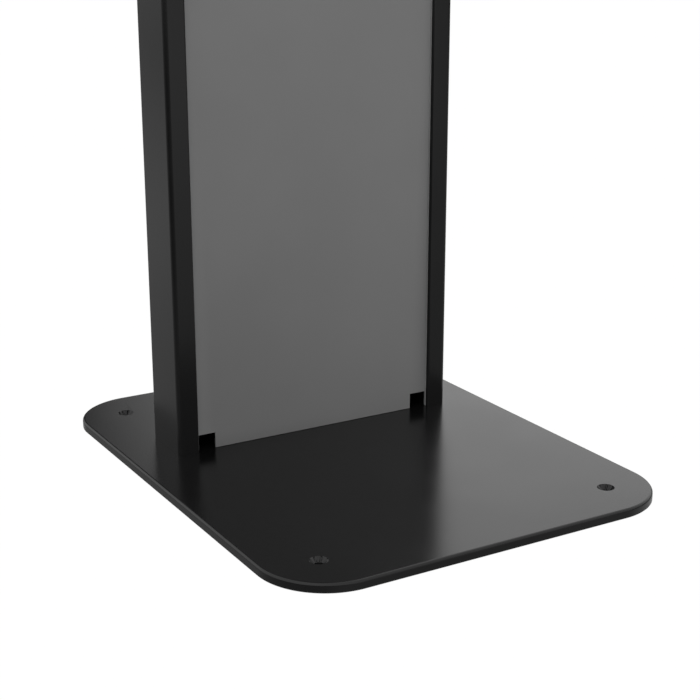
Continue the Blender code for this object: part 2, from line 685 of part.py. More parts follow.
def screen():
    half_width = HALF_INSIDE - PANEL_SIDE_GAP
    glass_middle = (0, (GLASS_LOW_Z + GLASS_HIGH_Z) / 2)
    glass_height = GLASS_HIGH_Z - GLASS_LOW_Z
    outline = rounded_rectangle(glass_middle, 2 * half_width, glass_height, GLASS_CORNER, SMALL_CORNER)
    glass_back = FRONT_PLANE + GLASS_THICKNESS
    piece("touch_glass", "cover_glass", prism(outline, "Y", FRONT_PLANE, glass_back))

    middle = SCREEN_MIDDLE_Z
    module_x = pair(MODULE_WIDTH / 2)
    module_z = (middle - MODULE_HEIGHT / 2, middle + MODULE_HEIGHT / 2)
    window_x = pair(ACTIVE_WIDTH / 2 + GASKET_OVERLAP)
    half_window = ACTIVE_HEIGHT / 2 + GASKET_OVERLAP
    window_z = (middle - half_window, middle + half_window)
    gasket_y = (glass_back + GAP, glass_back + GAP + GASKET_THICKNESS)
    window = block(window_x, (gasket_y[0] - MM, gasket_y[1] + MM), window_z)
    piece("screen_gasket", "foam", block(module_x, gasket_y, module_z), cuts=[window])

    lcd_y = (LCD_FRONT_Y, LCD_FRONT_Y + LCD_THICKNESS)
    piece("lcd_panel", "screen_cell", block(module_x, lcd_y, module_z))

    backlight = rectangle(module_x, module_z)
    step_x = pair(MODULE_WIDTH / 2 - BACKLIGHT_STEP)
    step_z = (module_z[0] + BACKLIGHT_STEP, module_z[1] - BACKLIGHT_STEP)
    step_y = BACKLIGHT_BACK_Y - BACKLIGHT_STEP
    back_face = rectangle(step_x, step_z)
    sections = [(backlight, BACKLIGHT_FRONT_Y), (backlight, step_y), (back_face, BACKLIGHT_BACK_Y)]
    piece("backlight_unit", "backlight_case", ("Y", sections))

    channel_front = BACKLIGHT_BACK_Y + GAP
    channel_back = BACK_SHEET_INNER - GAP
    channel_z = (CHANNEL_LOW_Z, CHANNEL_HIGH_Z)
    for side_name, side in (("left", -1), ("right", 1)):
        outer_x = sorted((side * FIT_X, side * (FIT_X - CHANNEL_FLANGE)))
        inner_x = sorted((side * (FIT_X - CHANNEL_SHEET), side * (FIT_X - CHANNEL_FLANGE - MM)))
        inner_y = (channel_front + CHANNEL_SHEET, channel_back - CHANNEL_SHEET)
        hollow = block(inner_x, inner_y, (CHANNEL_LOW_Z - MM, CHANNEL_HIGH_Z + MM))
        holes = [cover_screw_hole(side, z) for z in COVER_SCREW_Z]
        body = block(outer_x, (channel_front, channel_back), channel_z)
        channel = piece(side_name + "_display_channel", "zinc_steel", body, cuts=[hollow])
        combine(channel, holes, "DIFFERENCE")

    ports = [VIDEO_PORT_X, DISPLAY_POWER_PORT_X]
    circuit_board("display_driver_board", 0, DRIVER_BOARD_SIZE, DRIVER_BOARD_LOW_Z, ports)
    touch_port = [TOUCH_BOARD_X]
    circuit_board("touch_controller_board", TOUCH_BOARD_X, TOUCH_BOARD_SIZE, TOUCH_BOARD_LOW_Z, touch_port)


def circuit_board(name, centre_x, size, low_z, ports):
    """Board on stand-offs behind the backlight, with connectors along its lower edge."""
    width, height = size
    board_y = BACKLIGHT_BACK_Y + GAP + STANDOFF_LENGTH
    outline = rectangle((centre_x - width / 2, centre_x + width / 2), (low_z, low_z + height))
    joined = []
    standoff_y = (BACKLIGHT_BACK_Y + GAP, board_y + BOARD_THICKNESS / 2)
    for x in pair(width / 2 - STANDOFF_INSET):
        for z in (low_z + STANDOFF_INSET, low_z + height - STANDOFF_INSET):
            profile = [(STANDOFF_RADIUS, standoff_y[0]), (STANDOFF_RADIUS, standoff_y[1])]
            joined.append(turned(profile, "Y", (centre_x + x, z), STANDOFF_SIDES))
    connector_y = (board_y + BOARD_THICKNESS / 2, board_y + BOARD_THICKNESS + CONNECTOR_DEPTH)
    connector_low = low_z - CONNECTOR_OVERHANG
    for x in ports:
        connector_x = (x - CONNECTOR_SIZE / 2, x + CONNECTOR_SIZE / 2)
        joined.append(block(connector_x, connector_y, (connector_low, connector_low + CONNECTOR_SIZE)))
    body = prism(outline, "Y", board_y, board_y + BOARD_THICKNESS)
    piece(name, "circuit_board", body, joined)


def bay():
    half_width = FIT_X
    sheet_back = BAY_PLATE_Y + BAY_PLATE_SHEET
    flange_back = BAY_PLATE_Y + BAY_PLATE_FLANGE
    inner_x = half_width - BAY_PLATE_SHEET
    outline = [
        (-half_width, BAY_PLATE_Y), (half_width, BAY_PLATE_Y), (half_width, flange_back),
        (inner_x, flange_back), (inner_x, sheet_back), (-inner_x, sheet_back),
        (-inner_x, flange_back), (-half_width, flange_back),
    ]
    piece("equipment_plate", "zinc_steel", prism(outline, "Z", BAY_PLATE_LOW_Z, BAY_PLATE_HIGH_Z))

    supply_y = (BAY_FACE_Y, BAY_FACE_Y + SUPPLY_DEPTH)
    terminal_y = (BAY_FACE_Y, BAY_FACE_Y + TERMINAL_DEPTH)
    terminal_z = (SUPPLY_Z[0] - TERMINAL_HEIGHT, SUPPLY_Z[0] + MM)
    terminal = block((SUPPLY_X[0] + TERMINAL_INSET, SUPPLY_X[1] - TERMINAL_INSET), terminal_y, terminal_z)
    piece("power_supply", "aluminium_case", block(SUPPLY_X, supply_y, SUPPLY_Z), [terminal])

    middle = (0, (PLAYER_Z[0] + PLAYER_Z[1]) / 2)
    height = PLAYER_Z[1] - PLAYER_Z[0]
    top_width = PLAYER_WIDTH - 2 * PLAYER_EDGE
    top_height = height - 2 * PLAYER_EDGE
    outer = rounded_rectangle(middle, PLAYER_WIDTH, height, PLAYER_CORNER, SMALL_CORNER)
    top = rounded_rectangle(middle, top_width, top_height, PLAYER_CORNER, SMALL_CORNER)
    player_back = BAY_FACE_Y + PLAYER_DEPTH
    sections = [(outer, BAY_FACE_Y), (outer, player_back - PLAYER_EDGE), (top, player_back)]
    piece("media_player", "black_plastic", ("Y", sections))


def cover_screw_hole(side, z):
    radius = SMALL_SCREW_RADIUS + SCREW_CLEARANCE
    outline = circle((side * COVER_SCREW_X, z), radius, SCREW_SIDES)
    return prism(outline, "Y", BACK_SHEET_INNER - COVER_HOLE_DEPTH, BACK_PLANE + MM)


def vent_rows(centre_x, centre_z, width, count):
    """Level slots, one above another, right through the back sheet."""
    slots = []
    radius = VENT_HEIGHT / 2
    reach = width / 2 - radius
    for index in range(count):
        z = centre_z + (index - (count - 1) / 2) * VENT_PITCH
        outline = stadium((centre_x - reach, z), (centre_x + reach, z), radius, VENT_END_STEPS)
        slots.append(prism(outline, "Y", BACK_SHEET_INNER - MM, BACK_PLANE + MM))
    return slots


def head_cover():
    half_width = HALF_INSIDE - PANEL_SIDE_GAP
    cuts = []
    for side in (-1, 1):
        cuts += [cover_screw_hole(side, z) for z in COVER_SCREW_Z]
        cuts += vent_rows(side * FAN_X, FAN_Z, VENT_WIDTH, VENT_COUNT)
    cover_z = (COVER_LOW_Z, CAP_UNDERSIDE - GRILLE_JOINT)
    body = block(pair(half_width), (BACK_SHEET_INNER, BACK_PLANE), cover_z)
    piece("rear_head_cover", "black_paint", body, cuts=cuts)

    head_low = BACK_PLANE + GAP
    for side_name, side in (("left", -1), ("right", 1)):
        for end_name, z in zip(("lower", "upper"), COVER_SCREW_Z):
            profile = [
                (SMALL_SCREW_RADIUS, head_low - COVER_SCREW_LENGTH),
                (SMALL_SCREW_RADIUS, head_low),
                (SMALL_HEAD_RADIUS, head_low),
                (SMALL_HEAD_RADIUS, head_low + PAN_HEAD_SHOULDER),
                (PAN_HEAD_FLAT_RADIUS, head_low + PAN_HEAD_HEIGHT),
            ]
            body = turned(profile, "Y", (side * COVER_SCREW_X, z), SCREW_SIDES)
            piece(f"{side_name}_{end_name}_cover_screw", "screw_steel", body)


def fans():
    back_y = BACK_SHEET_INNER - GAP
    front_y = back_y - FAN_THICKNESS
    spoke_back = front_y + FAN_MOTOR_THICKNESS
    for side_name, side in (("left", -1), ("right", 1)):
        centre = (side * FAN_X, FAN_Z)
        outline = rounded_rectangle(centre, FAN_SIZE, FAN_SIZE, FAN_CORNER, SMALL_CORNER)
        body = prism(outline, "Y", front_y, back_y)
        bore = prism(circle(centre, FAN_BORE_RADIUS, FAN_BORE_SIDES), "Y", front_y - MM, back_y + MM)
        name = side_name + "_fan_frame"
        made = piece(name, "black_plastic", body, cuts=[bore])
        reach = FAN_BORE_RADIUS + MM
        half_spoke = FAN_SPOKE_WIDTH / 2
        spoke_y = (front_y, spoke_back)
        motor = turned([(FAN_MOTOR_RADIUS, y) for y in spoke_y], "Y", centre, FAN_MOTOR_SIDES)
        level_z = (FAN_Z - half_spoke, FAN_Z + half_spoke)
        level = block((centre[0] - reach, centre[0] + reach), spoke_y, level_z)
        upright_z = (FAN_Z - reach, FAN_Z + reach)
        upright = block((centre[0] - half_spoke, centre[0] + half_spoke), spoke_y, upright_z)
        for shape in (motor, level, upright):
            combine(made, [shape], "UNION")

        hub_y = (spoke_back + MM, spoke_back + MM + FAN_HUB_DEPTH)
        hub_middle = (hub_y[0] + hub_y[1]) / 2
        hub = turned([(FAN_HUB_RADIUS, y) for y in hub_y], "Y", centre, FAN_HUB_SIDES)
        pivot = (centre[0], hub_middle, centre[1])
        rotor = piece(side_name + "_fan_rotor", "black_plastic", hub)
        half_chord = FAN_BLADE_CHORD / 2
        half_thickness = FAN_BLADE_THICKNESS / 2
        for blade in range(FAN_BLADE_COUNT):
            angle = 2 * math.pi * blade / FAN_BLADE_COUNT
            outline = rectangle(pair(half_chord), pair(half_thickness))
            shape = prism(outline, "Z", FAN_HUB_RADIUS - 2 * MM, FAN_BLADE_RADIUS)
            spin = Matrix.Rotation(angle, 4, "Y")
            pitch = Matrix.Rotation(FAN_BLADE_PITCH, 4, "Z")
            combine(rotor, [shape], "UNION", Matrix.Translation(pivot) @ spin @ pitch)
        rotor.data.transform(Matrix.Translation(-Vector(pivot)))
        rotor.location = pivot


def door():
    half_width = HALF_INSIDE - DOOR_SIDE_GAP
    inner = BACK_PLANE - DOOR_SHEET
    flange_front = inner - DOOR_FLANGE
    body = block(pair(half_width), (flange_front, BACK_PLANE), DOOR_Z)
    inside_z = (DOOR_Z[0] + DOOR_SHEET, DOOR_Z[1] - DOOR_SHEET)
    inside = block(pair(half_width - DOOR_SHEET), (flange_front - MM, inner), inside_z)
    notch_x = (HINGE_AXIS_X - HINGE_RADIUS - KNUCKLE_RELIEF, half_width + MM)
    notch_y = (HINGE_AXIS_Y - HINGE_RADIUS - KNUCKLE_RELIEF, BACK_PLANE + MM)
    half_notch = HINGE_HEIGHT / 2 + HINGE_PIN_HEAD + MM
    notches = [block(notch_x, notch_y, (z - half_notch, z + half_notch)) for z in HINGE_Z.values()]
    lock_hole = prism(circle((LOCK_X, LOCK_Z), LOCK_BODY_RADIUS + CUTOUT_CLEARANCE, LOCK_SIDES),
                      "Y", inner - MM, BACK_PLANE + MM)
    vents = []
    for z in DOOR_VENT_ROWS:
        vents += vent_rows(0, z, DOOR_VENT_WIDTH, VENT_COUNT)
    pivot = (HINGE_AXIS_X, HINGE_AXIS_Y, (DOOR_Z[0] + DOOR_Z[1]) / 2)
    made = piece("rear_door", "black_paint", body, cuts=[inside])
    combine(made, notches + [lock_hole] + vents, "DIFFERENCE")
    made.data.transform(Matrix.Translation(-Vector(pivot)))
    made.location = pivot
    for name, z in HINGE_Z.items():
        hinge(name, z, made)
    lock(made)


def hinge(name, middle_z, door_object):
    """Butt hinge: two frame knuckles on the post, one door knuckle between them."""
    axis = (HINGE_AXIS_X, HINGE_AXIS_Y)
    low = middle_z - HINGE_HEIGHT / 2
    high = middle_z + HINGE_HEIGHT / 2
    door_low = low + KNUCKLE_HEIGHT + GAP
    door_high = high - KNUCKLE_HEIGHT - GAP
    relief = HINGE_RADIUS + KNUCKLE_RELIEF
    bore = prism(circle(axis, HINGE_BORE_RADIUS, HINGE_SIDES), "Z", low - MM, high + MM)

    leaf_x = (FIT_X - HINGE_LEAF, FIT_X)
    leaf_y = (HINGE_AXIS_Y - FRAME_LEAF_DEPTH, HINGE_AXIS_Y)
    barrel = prism(circle(axis, HINGE_RADIUS, HINGE_SIDES), "Z", low, high)
    window = block((axis[0] - relief, FIT_X + MM), (axis[1] - relief, axis[1] + relief),
                   (door_low - GAP, door_high + GAP))
    leaf = block(leaf_x, leaf_y, (low, high))
    made = piece(name + "_hinge_frame_leaf", "zinc_steel", leaf, [barrel], [window])
    combine(made, [bore], "DIFFERENCE")

    door_leaf_y = (BACK_PLANE + GAP, BACK_PLANE + GAP + DOOR_LEAF)
    leaf_end = axis[0] - DOOR_LEAF_WIDTH
    leaf = block((leaf_end, axis[0]), door_leaf_y, (low, high))
    knuckle = prism(circle(axis, HINGE_RADIUS, HINGE_SIDES), "Z", door_low, door_high)
    clear_x = (axis[0] - relief, axis[0] + relief)
    clear_y = (axis[1] - relief, axis[1] + relief)
    clearances = [
        block(clear_x, clear_y, (low - MM, door_low)),
        block(clear_x, clear_y, (door_high, high + MM)),
    ]
    moving = piece(name + "_hinge_door_leaf", "zinc_steel", leaf, [knuckle], clearances)
    combine(moving, [bore], "DIFFERENCE")
    pivot = (*axis, middle_z)
    moving.data.transform(Matrix.Translation(-Vector(pivot)))
    moving.location = pivot
    attach(moving, door_object)

    head_low = high + GAP
    profile = [
        (HINGE_PIN_RADIUS, low - GAP),
        (HINGE_PIN_RADIUS, head_low),
        (HINGE_PIN_HEAD_RADIUS, head_low),
        (HINGE_PIN_HEAD_RADIUS, head_low + HINGE_PIN_HEAD_THICKNESS),
    ]
    piece(name + "_hinge_pin", "screw_steel", turned(profile, "Z", axis, PIN_SIDES))


def lock(door_object):
    centre = (LOCK_X, LOCK_Z)
    flange_y = (BACK_PLANE + GAP, BACK_PLANE + GAP + LOCK_FLANGE_THICKNESS)
    profile = [
        (LOCK_BODY_RADIUS, LOCK_BODY_END_Y),
        (LOCK_BODY_RADIUS, flange_y[0]),
        (LOCK_FLANGE_RADIUS, flange_y[0]),
        (LOCK_FLANGE_RADIUS, flange_y[1] - LOCK_EDGE),
        (LOCK_FLANGE_RADIUS - LOCK_EDGE, flange_y[1]),
    ]
    bore = prism(circle(centre, LOCK_BORE_RADIUS, LOCK_SIDES), "Y", LOCK_BODY_END_Y - MM, flange_y[1] + MM)
    housing = piece("lock_housing", "chrome_lock", turned(profile, "Y", centre, LOCK_SIDES), cuts=[bore])
    attach(housing, door_object)

    nut_back = BACK_PLANE - DOOR_SHEET - GAP
    nut_bore = prism(circle(centre, LOCK_BODY_RADIUS + GAP, LOCK_SIDES), "Y", LOCK_BODY_END_Y, BACK_PLANE)
    hexagon = circle(centre, LOCK_NUT_RADIUS, 6)
    nut_body = prism(hexagon, "Y", nut_back - LOCK_NUT_THICKNESS, nut_back)
    nut = piece("lock_nut", "zinc_steel", nut_body, cuts=[nut_bore])
    attach(nut, door_object)

    face_y = flange_y[1] + GAP
    stub_end = LOCK_BARREL_END_Y - LOCK_STUB_LENGTH
    profile = [
        (LOCK_STUB_RADIUS, stub_end),
        (LOCK_STUB_RADIUS, LOCK_BARREL_END_Y),
        (LOCK_BARREL_RADIUS, LOCK_BARREL_END_Y),
        (LOCK_BARREL_RADIUS, face_y),
    ]
    keyway = block(
        (LOCK_X - KEYWAY_WIDTH / 2, LOCK_X + KEYWAY_WIDTH / 2),
        (face_y - KEYWAY_DEPTH, face_y + MM),
        (LOCK_Z - KEYWAY_LENGTH / 2, LOCK_Z + KEYWAY_LENGTH / 2),
    )
    pivot = (LOCK_X, BACK_PLANE, LOCK_Z)
    barrel = piece("lock_barrel", "chrome_lock", turned(profile, "Y", centre, LOCK_SIDES), cuts=[keyway],
                   pivot=pivot, parent=door_object)

    cam_end = (LOCK_X, LOCK_Z - CAM_REACH + CAM_RADIUS)
    cam_back = LOCK_BARREL_END_Y - GAP
    hole_outline = circle(centre, LOCK_STUB_RADIUS + GAP, CAM_SIDES)
    cam_hole = prism(hole_outline, "Y", stub_end - MM, LOCK_BARREL_END_Y + MM)
    cam_outline = stadium(centre, cam_end, CAM_RADIUS, CAM_SIDES // 2)
    cam_body = prism(cam_outline, "Y", cam_back - CAM_THICKNESS, cam_back)
    cam = piece("lock_cam", "zinc_steel", cam_body, cuts=[cam_hole], pivot=pivot, parent=door_object)
    attach_keep_place(cam, barrel)

    keeper_z = (LOCK_Z - KEEPER_HEIGHT / 2, LOCK_Z + KEEPER_HEIGHT / 2)
    tongue_y = (KEEPER_Y[1] - KEEPER_TONGUE_THICKNESS, KEEPER_Y[1])
    outline = [
        (-FIT_X, KEEPER_Y[0]), (-FIT_X + KEEPER_SHEET, KEEPER_Y[0]), (-FIT_X + KEEPER_SHEET, tongue_y[0]),
        (-FIT_X + KEEPER_TONGUE, tongue_y[0]), (-FIT_X + KEEPER_TONGUE, tongue_y[1]), (-FIT_X, tongue_y[1]),
    ]
    piece("lock_keeper", "zinc_steel", prism(outline, "Z", *keeper_z))


def attach_keep_place(child, parent):
    """Moves a child of the door under another child of the door with the same origin."""
    child.parent = parent
    child.location = (0, 0, 0)


def snap_in(name, look, centre_x, flange, body_size, rear_y, cavity, joined=()):
    """Panel part pushed in from outside: a thin flange, a body through the cut-out, a cavity."""
    centre = (centre_x, CONNECTOR_Z)
    flange_y = (BACK_PLANE + GAP, BACK_PLANE + GAP + SNAP_FLANGE)
    plate = prism(rounded_rectangle(centre, *flange, SNAP_CORNER, SMALL_CORNER), "Y", *flange_y)
    core_outline = rounded_rectangle(centre, *body_size, SNAP_CORNER / 2, 1)
    core = prism(core_outline, "Y", rear_y, flange_y[0] + MM)
    made = piece(name, look, plate, [core], [cavity])
    for shape in joined:
        combine(made, [shape], "UNION")
    return made


def connectors():
    half_width = HALF_INSIDE - PANEL_SIDE_GAP
    flange_front = BACK_SHEET_INNER - COVER_FLANGE
    panel_z = (POST_BASE, CONNECTOR_PANEL_TOP)
    body = block(pair(half_width), (flange_front, BACK_PLANE), panel_z)
    inside = block(pair(half_width - COVER_SHEET), (flange_front - MM, BACK_SHEET_INNER),
                   (0, CONNECTOR_PANEL_TOP - COVER_SHEET))
    cutouts = []
    for x, size in ((INLET_X, INLET_BODY), (SWITCH_X, SWITCH_BODY), (SOCKET_X, SOCKET_BODY)):
        half_w = size[0] / 2 + CUTOUT_CLEARANCE
        half_h = size[1] / 2 + CUTOUT_CLEARANCE
        cutouts.append(block((x - half_w, x + half_w), (BACK_SHEET_INNER - MM, BACK_PLANE + MM),
                             (CONNECTOR_Z - half_h, CONNECTOR_Z + half_h)))
    made = piece("rear_connector_panel", "black_paint", body, cuts=[inside])
    combine(made, cutouts, "DIFFERENCE")

    face_y = BACK_PLANE + GAP + SNAP_FLANGE
    half_w, half_h = INLET_CAVITY[0] / 2, INLET_CAVITY[1] / 2
    chamfer = INLET_CAVITY_CHAMFER
    around_middle = [
        (-half_w, -half_h), (half_w, -half_h), (half_w, half_h - chamfer),
        (half_w - chamfer, half_h), (chamfer - half_w, half_h), (-half_w, half_h - chamfer),
    ]
    cavity_outline = [(INLET_X + x, CONNECTOR_Z + z) for x, z in around_middle]
    floor_y = face_y - INLET_CAVITY_DEPTH
    cavity = prism(cavity_outline, "Y", floor_y, face_y + MM)
    pins = []
    spread, drop = INLET_PIN_SPREAD, INLET_PIN_DROP
    for x, z in ((-spread, -drop), (spread, -drop), (0, drop)):
        pins.append(block(
            (INLET_X + x - INLET_PIN[0] / 2, INLET_X + x + INLET_PIN[0] / 2),
            (floor_y - MM, floor_y + INLET_PIN_LENGTH),
            (CONNECTOR_Z + z - INLET_PIN[1] / 2, CONNECTOR_Z + z + INLET_PIN[1] / 2)))
    snap_in("mains_inlet", "black_plastic", INLET_X, INLET_FLANGE, INLET_BODY, INLET_REAR_Y, cavity, pins)

    half_w, half_h = SWITCH_CAVITY[0] / 2, SWITCH_CAVITY[1] / 2
    cavity = block((SWITCH_X - half_w, SWITCH_X + half_w), (SWITCH_CAVITY_FLOOR_Y, face_y + MM),
                   (CONNECTOR_Z - half_h, CONNECTOR_Z + half_h))
    housing = snap_in("power_switch_housing", "black_plastic", SWITCH_X, SWITCH_FLANGE, SWITCH_BODY,
                      SWITCH_REAR_Y, cavity)
    pivot = (SWITCH_X, ROCKER_PIVOT_Y, CONNECTOR_Z)
    axle_hole = prism(circle(pivot[1:], ROCKER_HOLE_RADIUS, PIN_SIDES), "X",
                      SWITCH_X - SWITCH_BODY[0], SWITCH_X + SWITCH_BODY[0])
    combine(housing, [axle_hole], "DIFFERENCE")
    rocker(pivot)

    cavity_floor = face_y - SOCKET_CAVITY_DEPTH
    half_w, half_h = SOCKET_CAVITY[0] / 2, SOCKET_CAVITY[1] / 2
    cavity = block((SOCKET_X - half_w, SOCKET_X + half_w), (cavity_floor, face_y + MM),
                   (CONNECTOR_Z - half_h, CONNECTOR_Z + half_h))
    snap_in("network_socket", "black_plastic", SOCKET_X, SOCKET_FLANGE, SOCKET_BODY, SOCKET_REAR_Y, cavity)


def rocker(pivot):
    """Rocker with a shallow V face, modelled level and then tipped to its off position."""
    half = ROCKER_HALF_LENGTH
    foot_half = ROCKER_FOOT_HALF_LENGTH
    level = [
        (-ROCKER_FOOT, -foot_half), (-ROCKER_FOOT, foot_half), (ROCKER_FACE, half),
        (ROCKER_FACE - ROCKER_DIP, 0), (ROCKER_FACE, -half),
    ]
    outline = [(pivot[1] + y, pivot[2] + z) for y, z in level]
    body = prism(outline, "X", pivot[0] - ROCKER_WIDTH / 2, pivot[0] + ROCKER_WIDTH / 2)
    axle = prism(circle(pivot[1:], ROCKER_AXLE_RADIUS, PIN_SIDES), "X",
                 pivot[0] - ROCKER_AXLE_LENGTH / 2, pivot[0] + ROCKER_AXLE_LENGTH / 2)
    made = piece("power_switch_rocker", "black_plastic", body, [axle], pivot=pivot)
    made.data.transform(Matrix.Rotation(ROCKER_REST_TILT, 4, "X"))


def smooth_route(knots, spacing):
    """Points on a Catmull-Rom curve through the knots, about the given spacing apart."""
    padded = [knots[0], *knots, knots[-1]]
    points = []
    for before, start, end, after in zip(padded, padded[1:], padded[2:], padded[3:]):
        steps = max(2, round((end - start).length / spacing))
        for step in range(steps):
            t = step / steps
            pull = (2 * before - 5 * start + 4 * end - after) * t * t
            curl = (3 * start - before - 3 * end + after) * t * t * t
            points.append((2 * start + (end - before) * t + pull + curl) / 2)
    points.append(knots[-1])
    return points


def lead(name, radius, knots):
    spacing = 2 * radius * LEAD_POINT_SPACING
    points = smooth_route([Vector(knot) for knot in knots], spacing)
    curve = bpy.data.curves.new(name, "CURVE")
    curve.dimensions = "3D"
    curve.bevel_depth = radius
    curve.bevel_resolution = 2
    curve.use_fill_caps = True
    spline = curve.splines.new("POLY")
    spline.points.add(len(points) - 1)
    for point, place in zip(spline.points, points):
        point.co = (*place, 1)
    obj = bpy.data.objects.new(name, curve)
    bpy.context.collection.objects.link(obj)
    curve.materials.append(finish("cable_jacket"))


def leads():
    supply_low = SUPPLY_Z[0] - TERMINAL_HEIGHT - GAP
    board_low = DRIVER_BOARD_LOW_Z - CONNECTOR_OVERHANG - GAP
    board_port_y = BACKLIGHT_BACK_Y + GAP + STANDOFF_LENGTH + BOARD_THICKNESS + CONNECTOR_DEPTH / 2
    lead("mains_cable", MAINS_LEAD_RADIUS, [
        (INLET_X, INLET_REAR_Y - GAP, CONNECTOR_Z),
        (INLET_X, 111 * MM, 48.6 * MM),
        (INLET_X, 102.5 * MM, 55 * MM),
        (INLET_X, 98.4 * MM, 66 * MM),
        (INLET_X, 97.6 * MM, 90 * MM),
        (-71 * MM, 96 * MM, 125 * MM),
        (-72 * MM, 93.5 * MM, 152 * MM),
        (-72 * MM, 93 * MM, supply_low),
    ])
    lead("network_cable", NETWORK_LEAD_RADIUS, [
        (SOCKET_X, SOCKET_REAR_Y - GAP, CONNECTOR_Z),
        (SOCKET_X, 109.5 * MM, 48.6 * MM),
        (SOCKET_X, 101.5 * MM, 55.5 * MM),
        (SOCKET_X, 98.6 * MM, 67 * MM),
        (SOCKET_X, 98.4 * MM, 90 * MM),
        (34 * MM, 98.6 * MM, 160 * MM),
        (38 * MM, 99 * MM, 260 * MM),
        (35 * MM, 99.4 * MM, 370 * MM),
        (31 * MM, 99.2 * MM, 440 * MM),
        (NETWORK_PORT_X, PORT_Y, PLAYER_Z[0] - GAP),
    ])
    lead("video_cable", VIDEO_LEAD_RADIUS, [
        (VIDEO_PORT_X, PORT_Y, PLAYER_Z[1] + GAP),
        (VIDEO_PORT_X, PORT_Y, 625 * MM),
        (32 * MM, 100 * MM, 700 * MM),
        (37 * MM, 101 * MM, 820 * MM),
        (37 * MM, 101.5 * MM, 930 * MM),
        (33 * MM, 101.8 * MM, 1050 * MM),
        (VIDEO_PORT_X, board_port_y, 1140 * MM),
        (VIDEO_PORT_X, board_port_y, board_low),
    ])
    lead("display_power_cable", DISPLAY_POWER_LEAD_RADIUS, [
        (-60 * MM, PORT_Y, SUPPLY_Z[1] + GAP),
        (-60 * MM, PORT_Y, 350 * MM),
        (-68 * MM, 101 * MM, 410 * MM),
        (-76 * MM, 102 * MM, 480 * MM),
        (-78 * MM, 102 * MM, 560 * MM),
        (-72 * MM, 102 * MM, 650 * MM),
        (-54 * MM, 102 * MM, 760 * MM),
        (-40 * MM, 102 * MM, 880 * MM),
        (-34 * MM, 102 * MM, 1020 * MM),
        (DISPLAY_POWER_PORT_X, board_port_y, 1140 * MM),
        (DISPLAY_POWER_PORT_X, board_port_y, board_low),
    ])


def build():
    clear_scene()
    base()
    frame()
    front()
    screen()
    bay()
    head_cover()
    fans()
    door()
    connectors()
    leads()


build()
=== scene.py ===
"""Looks of the touchscreen kiosk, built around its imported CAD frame.

Sizes and places come from the CAD boxes and are in millimetres; at() and
swept() turn them into Blender's metres.  +Z is up, the screen faces -Y and
the service door is at +Y.
"""

from math import atan2, copysign, cos, hypot, pi, radians, sin

import bmesh
import bpy
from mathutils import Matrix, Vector


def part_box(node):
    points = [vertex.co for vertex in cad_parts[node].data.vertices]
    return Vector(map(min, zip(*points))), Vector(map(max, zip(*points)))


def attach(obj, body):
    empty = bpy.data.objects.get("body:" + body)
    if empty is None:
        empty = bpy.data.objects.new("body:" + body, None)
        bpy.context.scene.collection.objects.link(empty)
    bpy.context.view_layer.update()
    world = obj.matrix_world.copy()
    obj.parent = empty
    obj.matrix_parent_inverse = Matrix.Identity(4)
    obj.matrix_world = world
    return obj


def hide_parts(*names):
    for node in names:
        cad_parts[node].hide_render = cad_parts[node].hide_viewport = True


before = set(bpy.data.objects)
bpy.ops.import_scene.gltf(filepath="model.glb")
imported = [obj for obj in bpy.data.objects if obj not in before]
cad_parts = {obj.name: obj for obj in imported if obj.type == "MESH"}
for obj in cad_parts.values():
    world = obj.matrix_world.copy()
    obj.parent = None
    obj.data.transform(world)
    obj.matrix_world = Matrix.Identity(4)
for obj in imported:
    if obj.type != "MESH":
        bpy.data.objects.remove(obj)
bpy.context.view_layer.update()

MM = 0.001
SMOOTH_BELOW = radians(35)
ACROSS = {"X": (1, 2), "Y": (0, 2), "Z": (0, 1)}
LOOKS = {}

# Driving sizes that the CAD boxes don't give
PLATE_CORNER = 72.5
PLATE_ROUNDING = 3
PLATE_CHAMFER = 0.8
FLOOR_HOLE_INSET = 55
FLOOR_HOLE_RADIUS = 4.5
FLOOR_SINK_RADIUS = 9
FLUTES = 8
FLUTE_DEPTH = 1.6
FOOT_SCREW_CLEARANCE = 0.3
CAP_SCREW_CLEARANCE = 0.35
POST_CORNER = 5
POST_INNER_CORNER = 2
POST_WALL = 2.5
SLOT_COUNT = 11
SLOT_PITCH = 6
SLOT_WIDTH = 2.2
SLOT_LENGTH = 16
VENT_COUNT = 6
VENT_PITCH = 8
VENT_HEIGHT = 3
HEAD_VENT_WIDTH = 50
DOOR_VENT_WIDTH = 150
DOOR_VENT_ROWS = (150, 840)
CAP_EDGE = 1
SCREEN_BORDERS = {"x": 12.1, "z": 9.5}
SPEAKER_CONE_RADIUS = 12
SPEAKER_MAGNET_RADIUS = 11
SPEAKER_MAGNET = 6
SPEAKER_SCREW_INSET = 4.5
SPEAKER_WELL = 7.5
DUST_CAP_RADIUS = 4.6
GLASS_CORNER = 3
BOARD_THICKNESS = 1.6
BOARD_PORT_DEPTH = 5.4
BOARD_PORT_SIZE = 14
BOARD_PORT_OVERHANG = 2
BOARD_HOLE_INSET = 6
VIDEO_PORT_X = 28
DISPLAY_POWER_X = -30
TOUCH_PORT_X = 85
LEG_PITCH = 0.8
LEG_ROOM = 0.9
PORT_PIN_PITCH = 1.2
CASE_HOLE_PITCH = 5.2
CASE_COLUMNS = 14
CASE_ROWS = 31
TERMINAL_HEIGHT = 12
TERMINAL_DEPTH = 14
TERMINAL_INSET = 5
TERMINAL_POLES = 7
PLAYER_CORNER = 12
PLAYER_GROOVES = 17
PLAYER_GROOVE_PITCH = 5.6
PLAYER_PORTS = (-34, -14, 8, 48)
COVER_HEAD_HEIGHT = 2.2
COVER_SHANK_RADIUS = 2
DOOR_SHEET = 1.5
HINGES = ("upper_hinge_", "lower_hinge_")
HINGE_RADIUS = 3
HINGE_BORE = 1.9
HINGE_KNUCKLE = 12
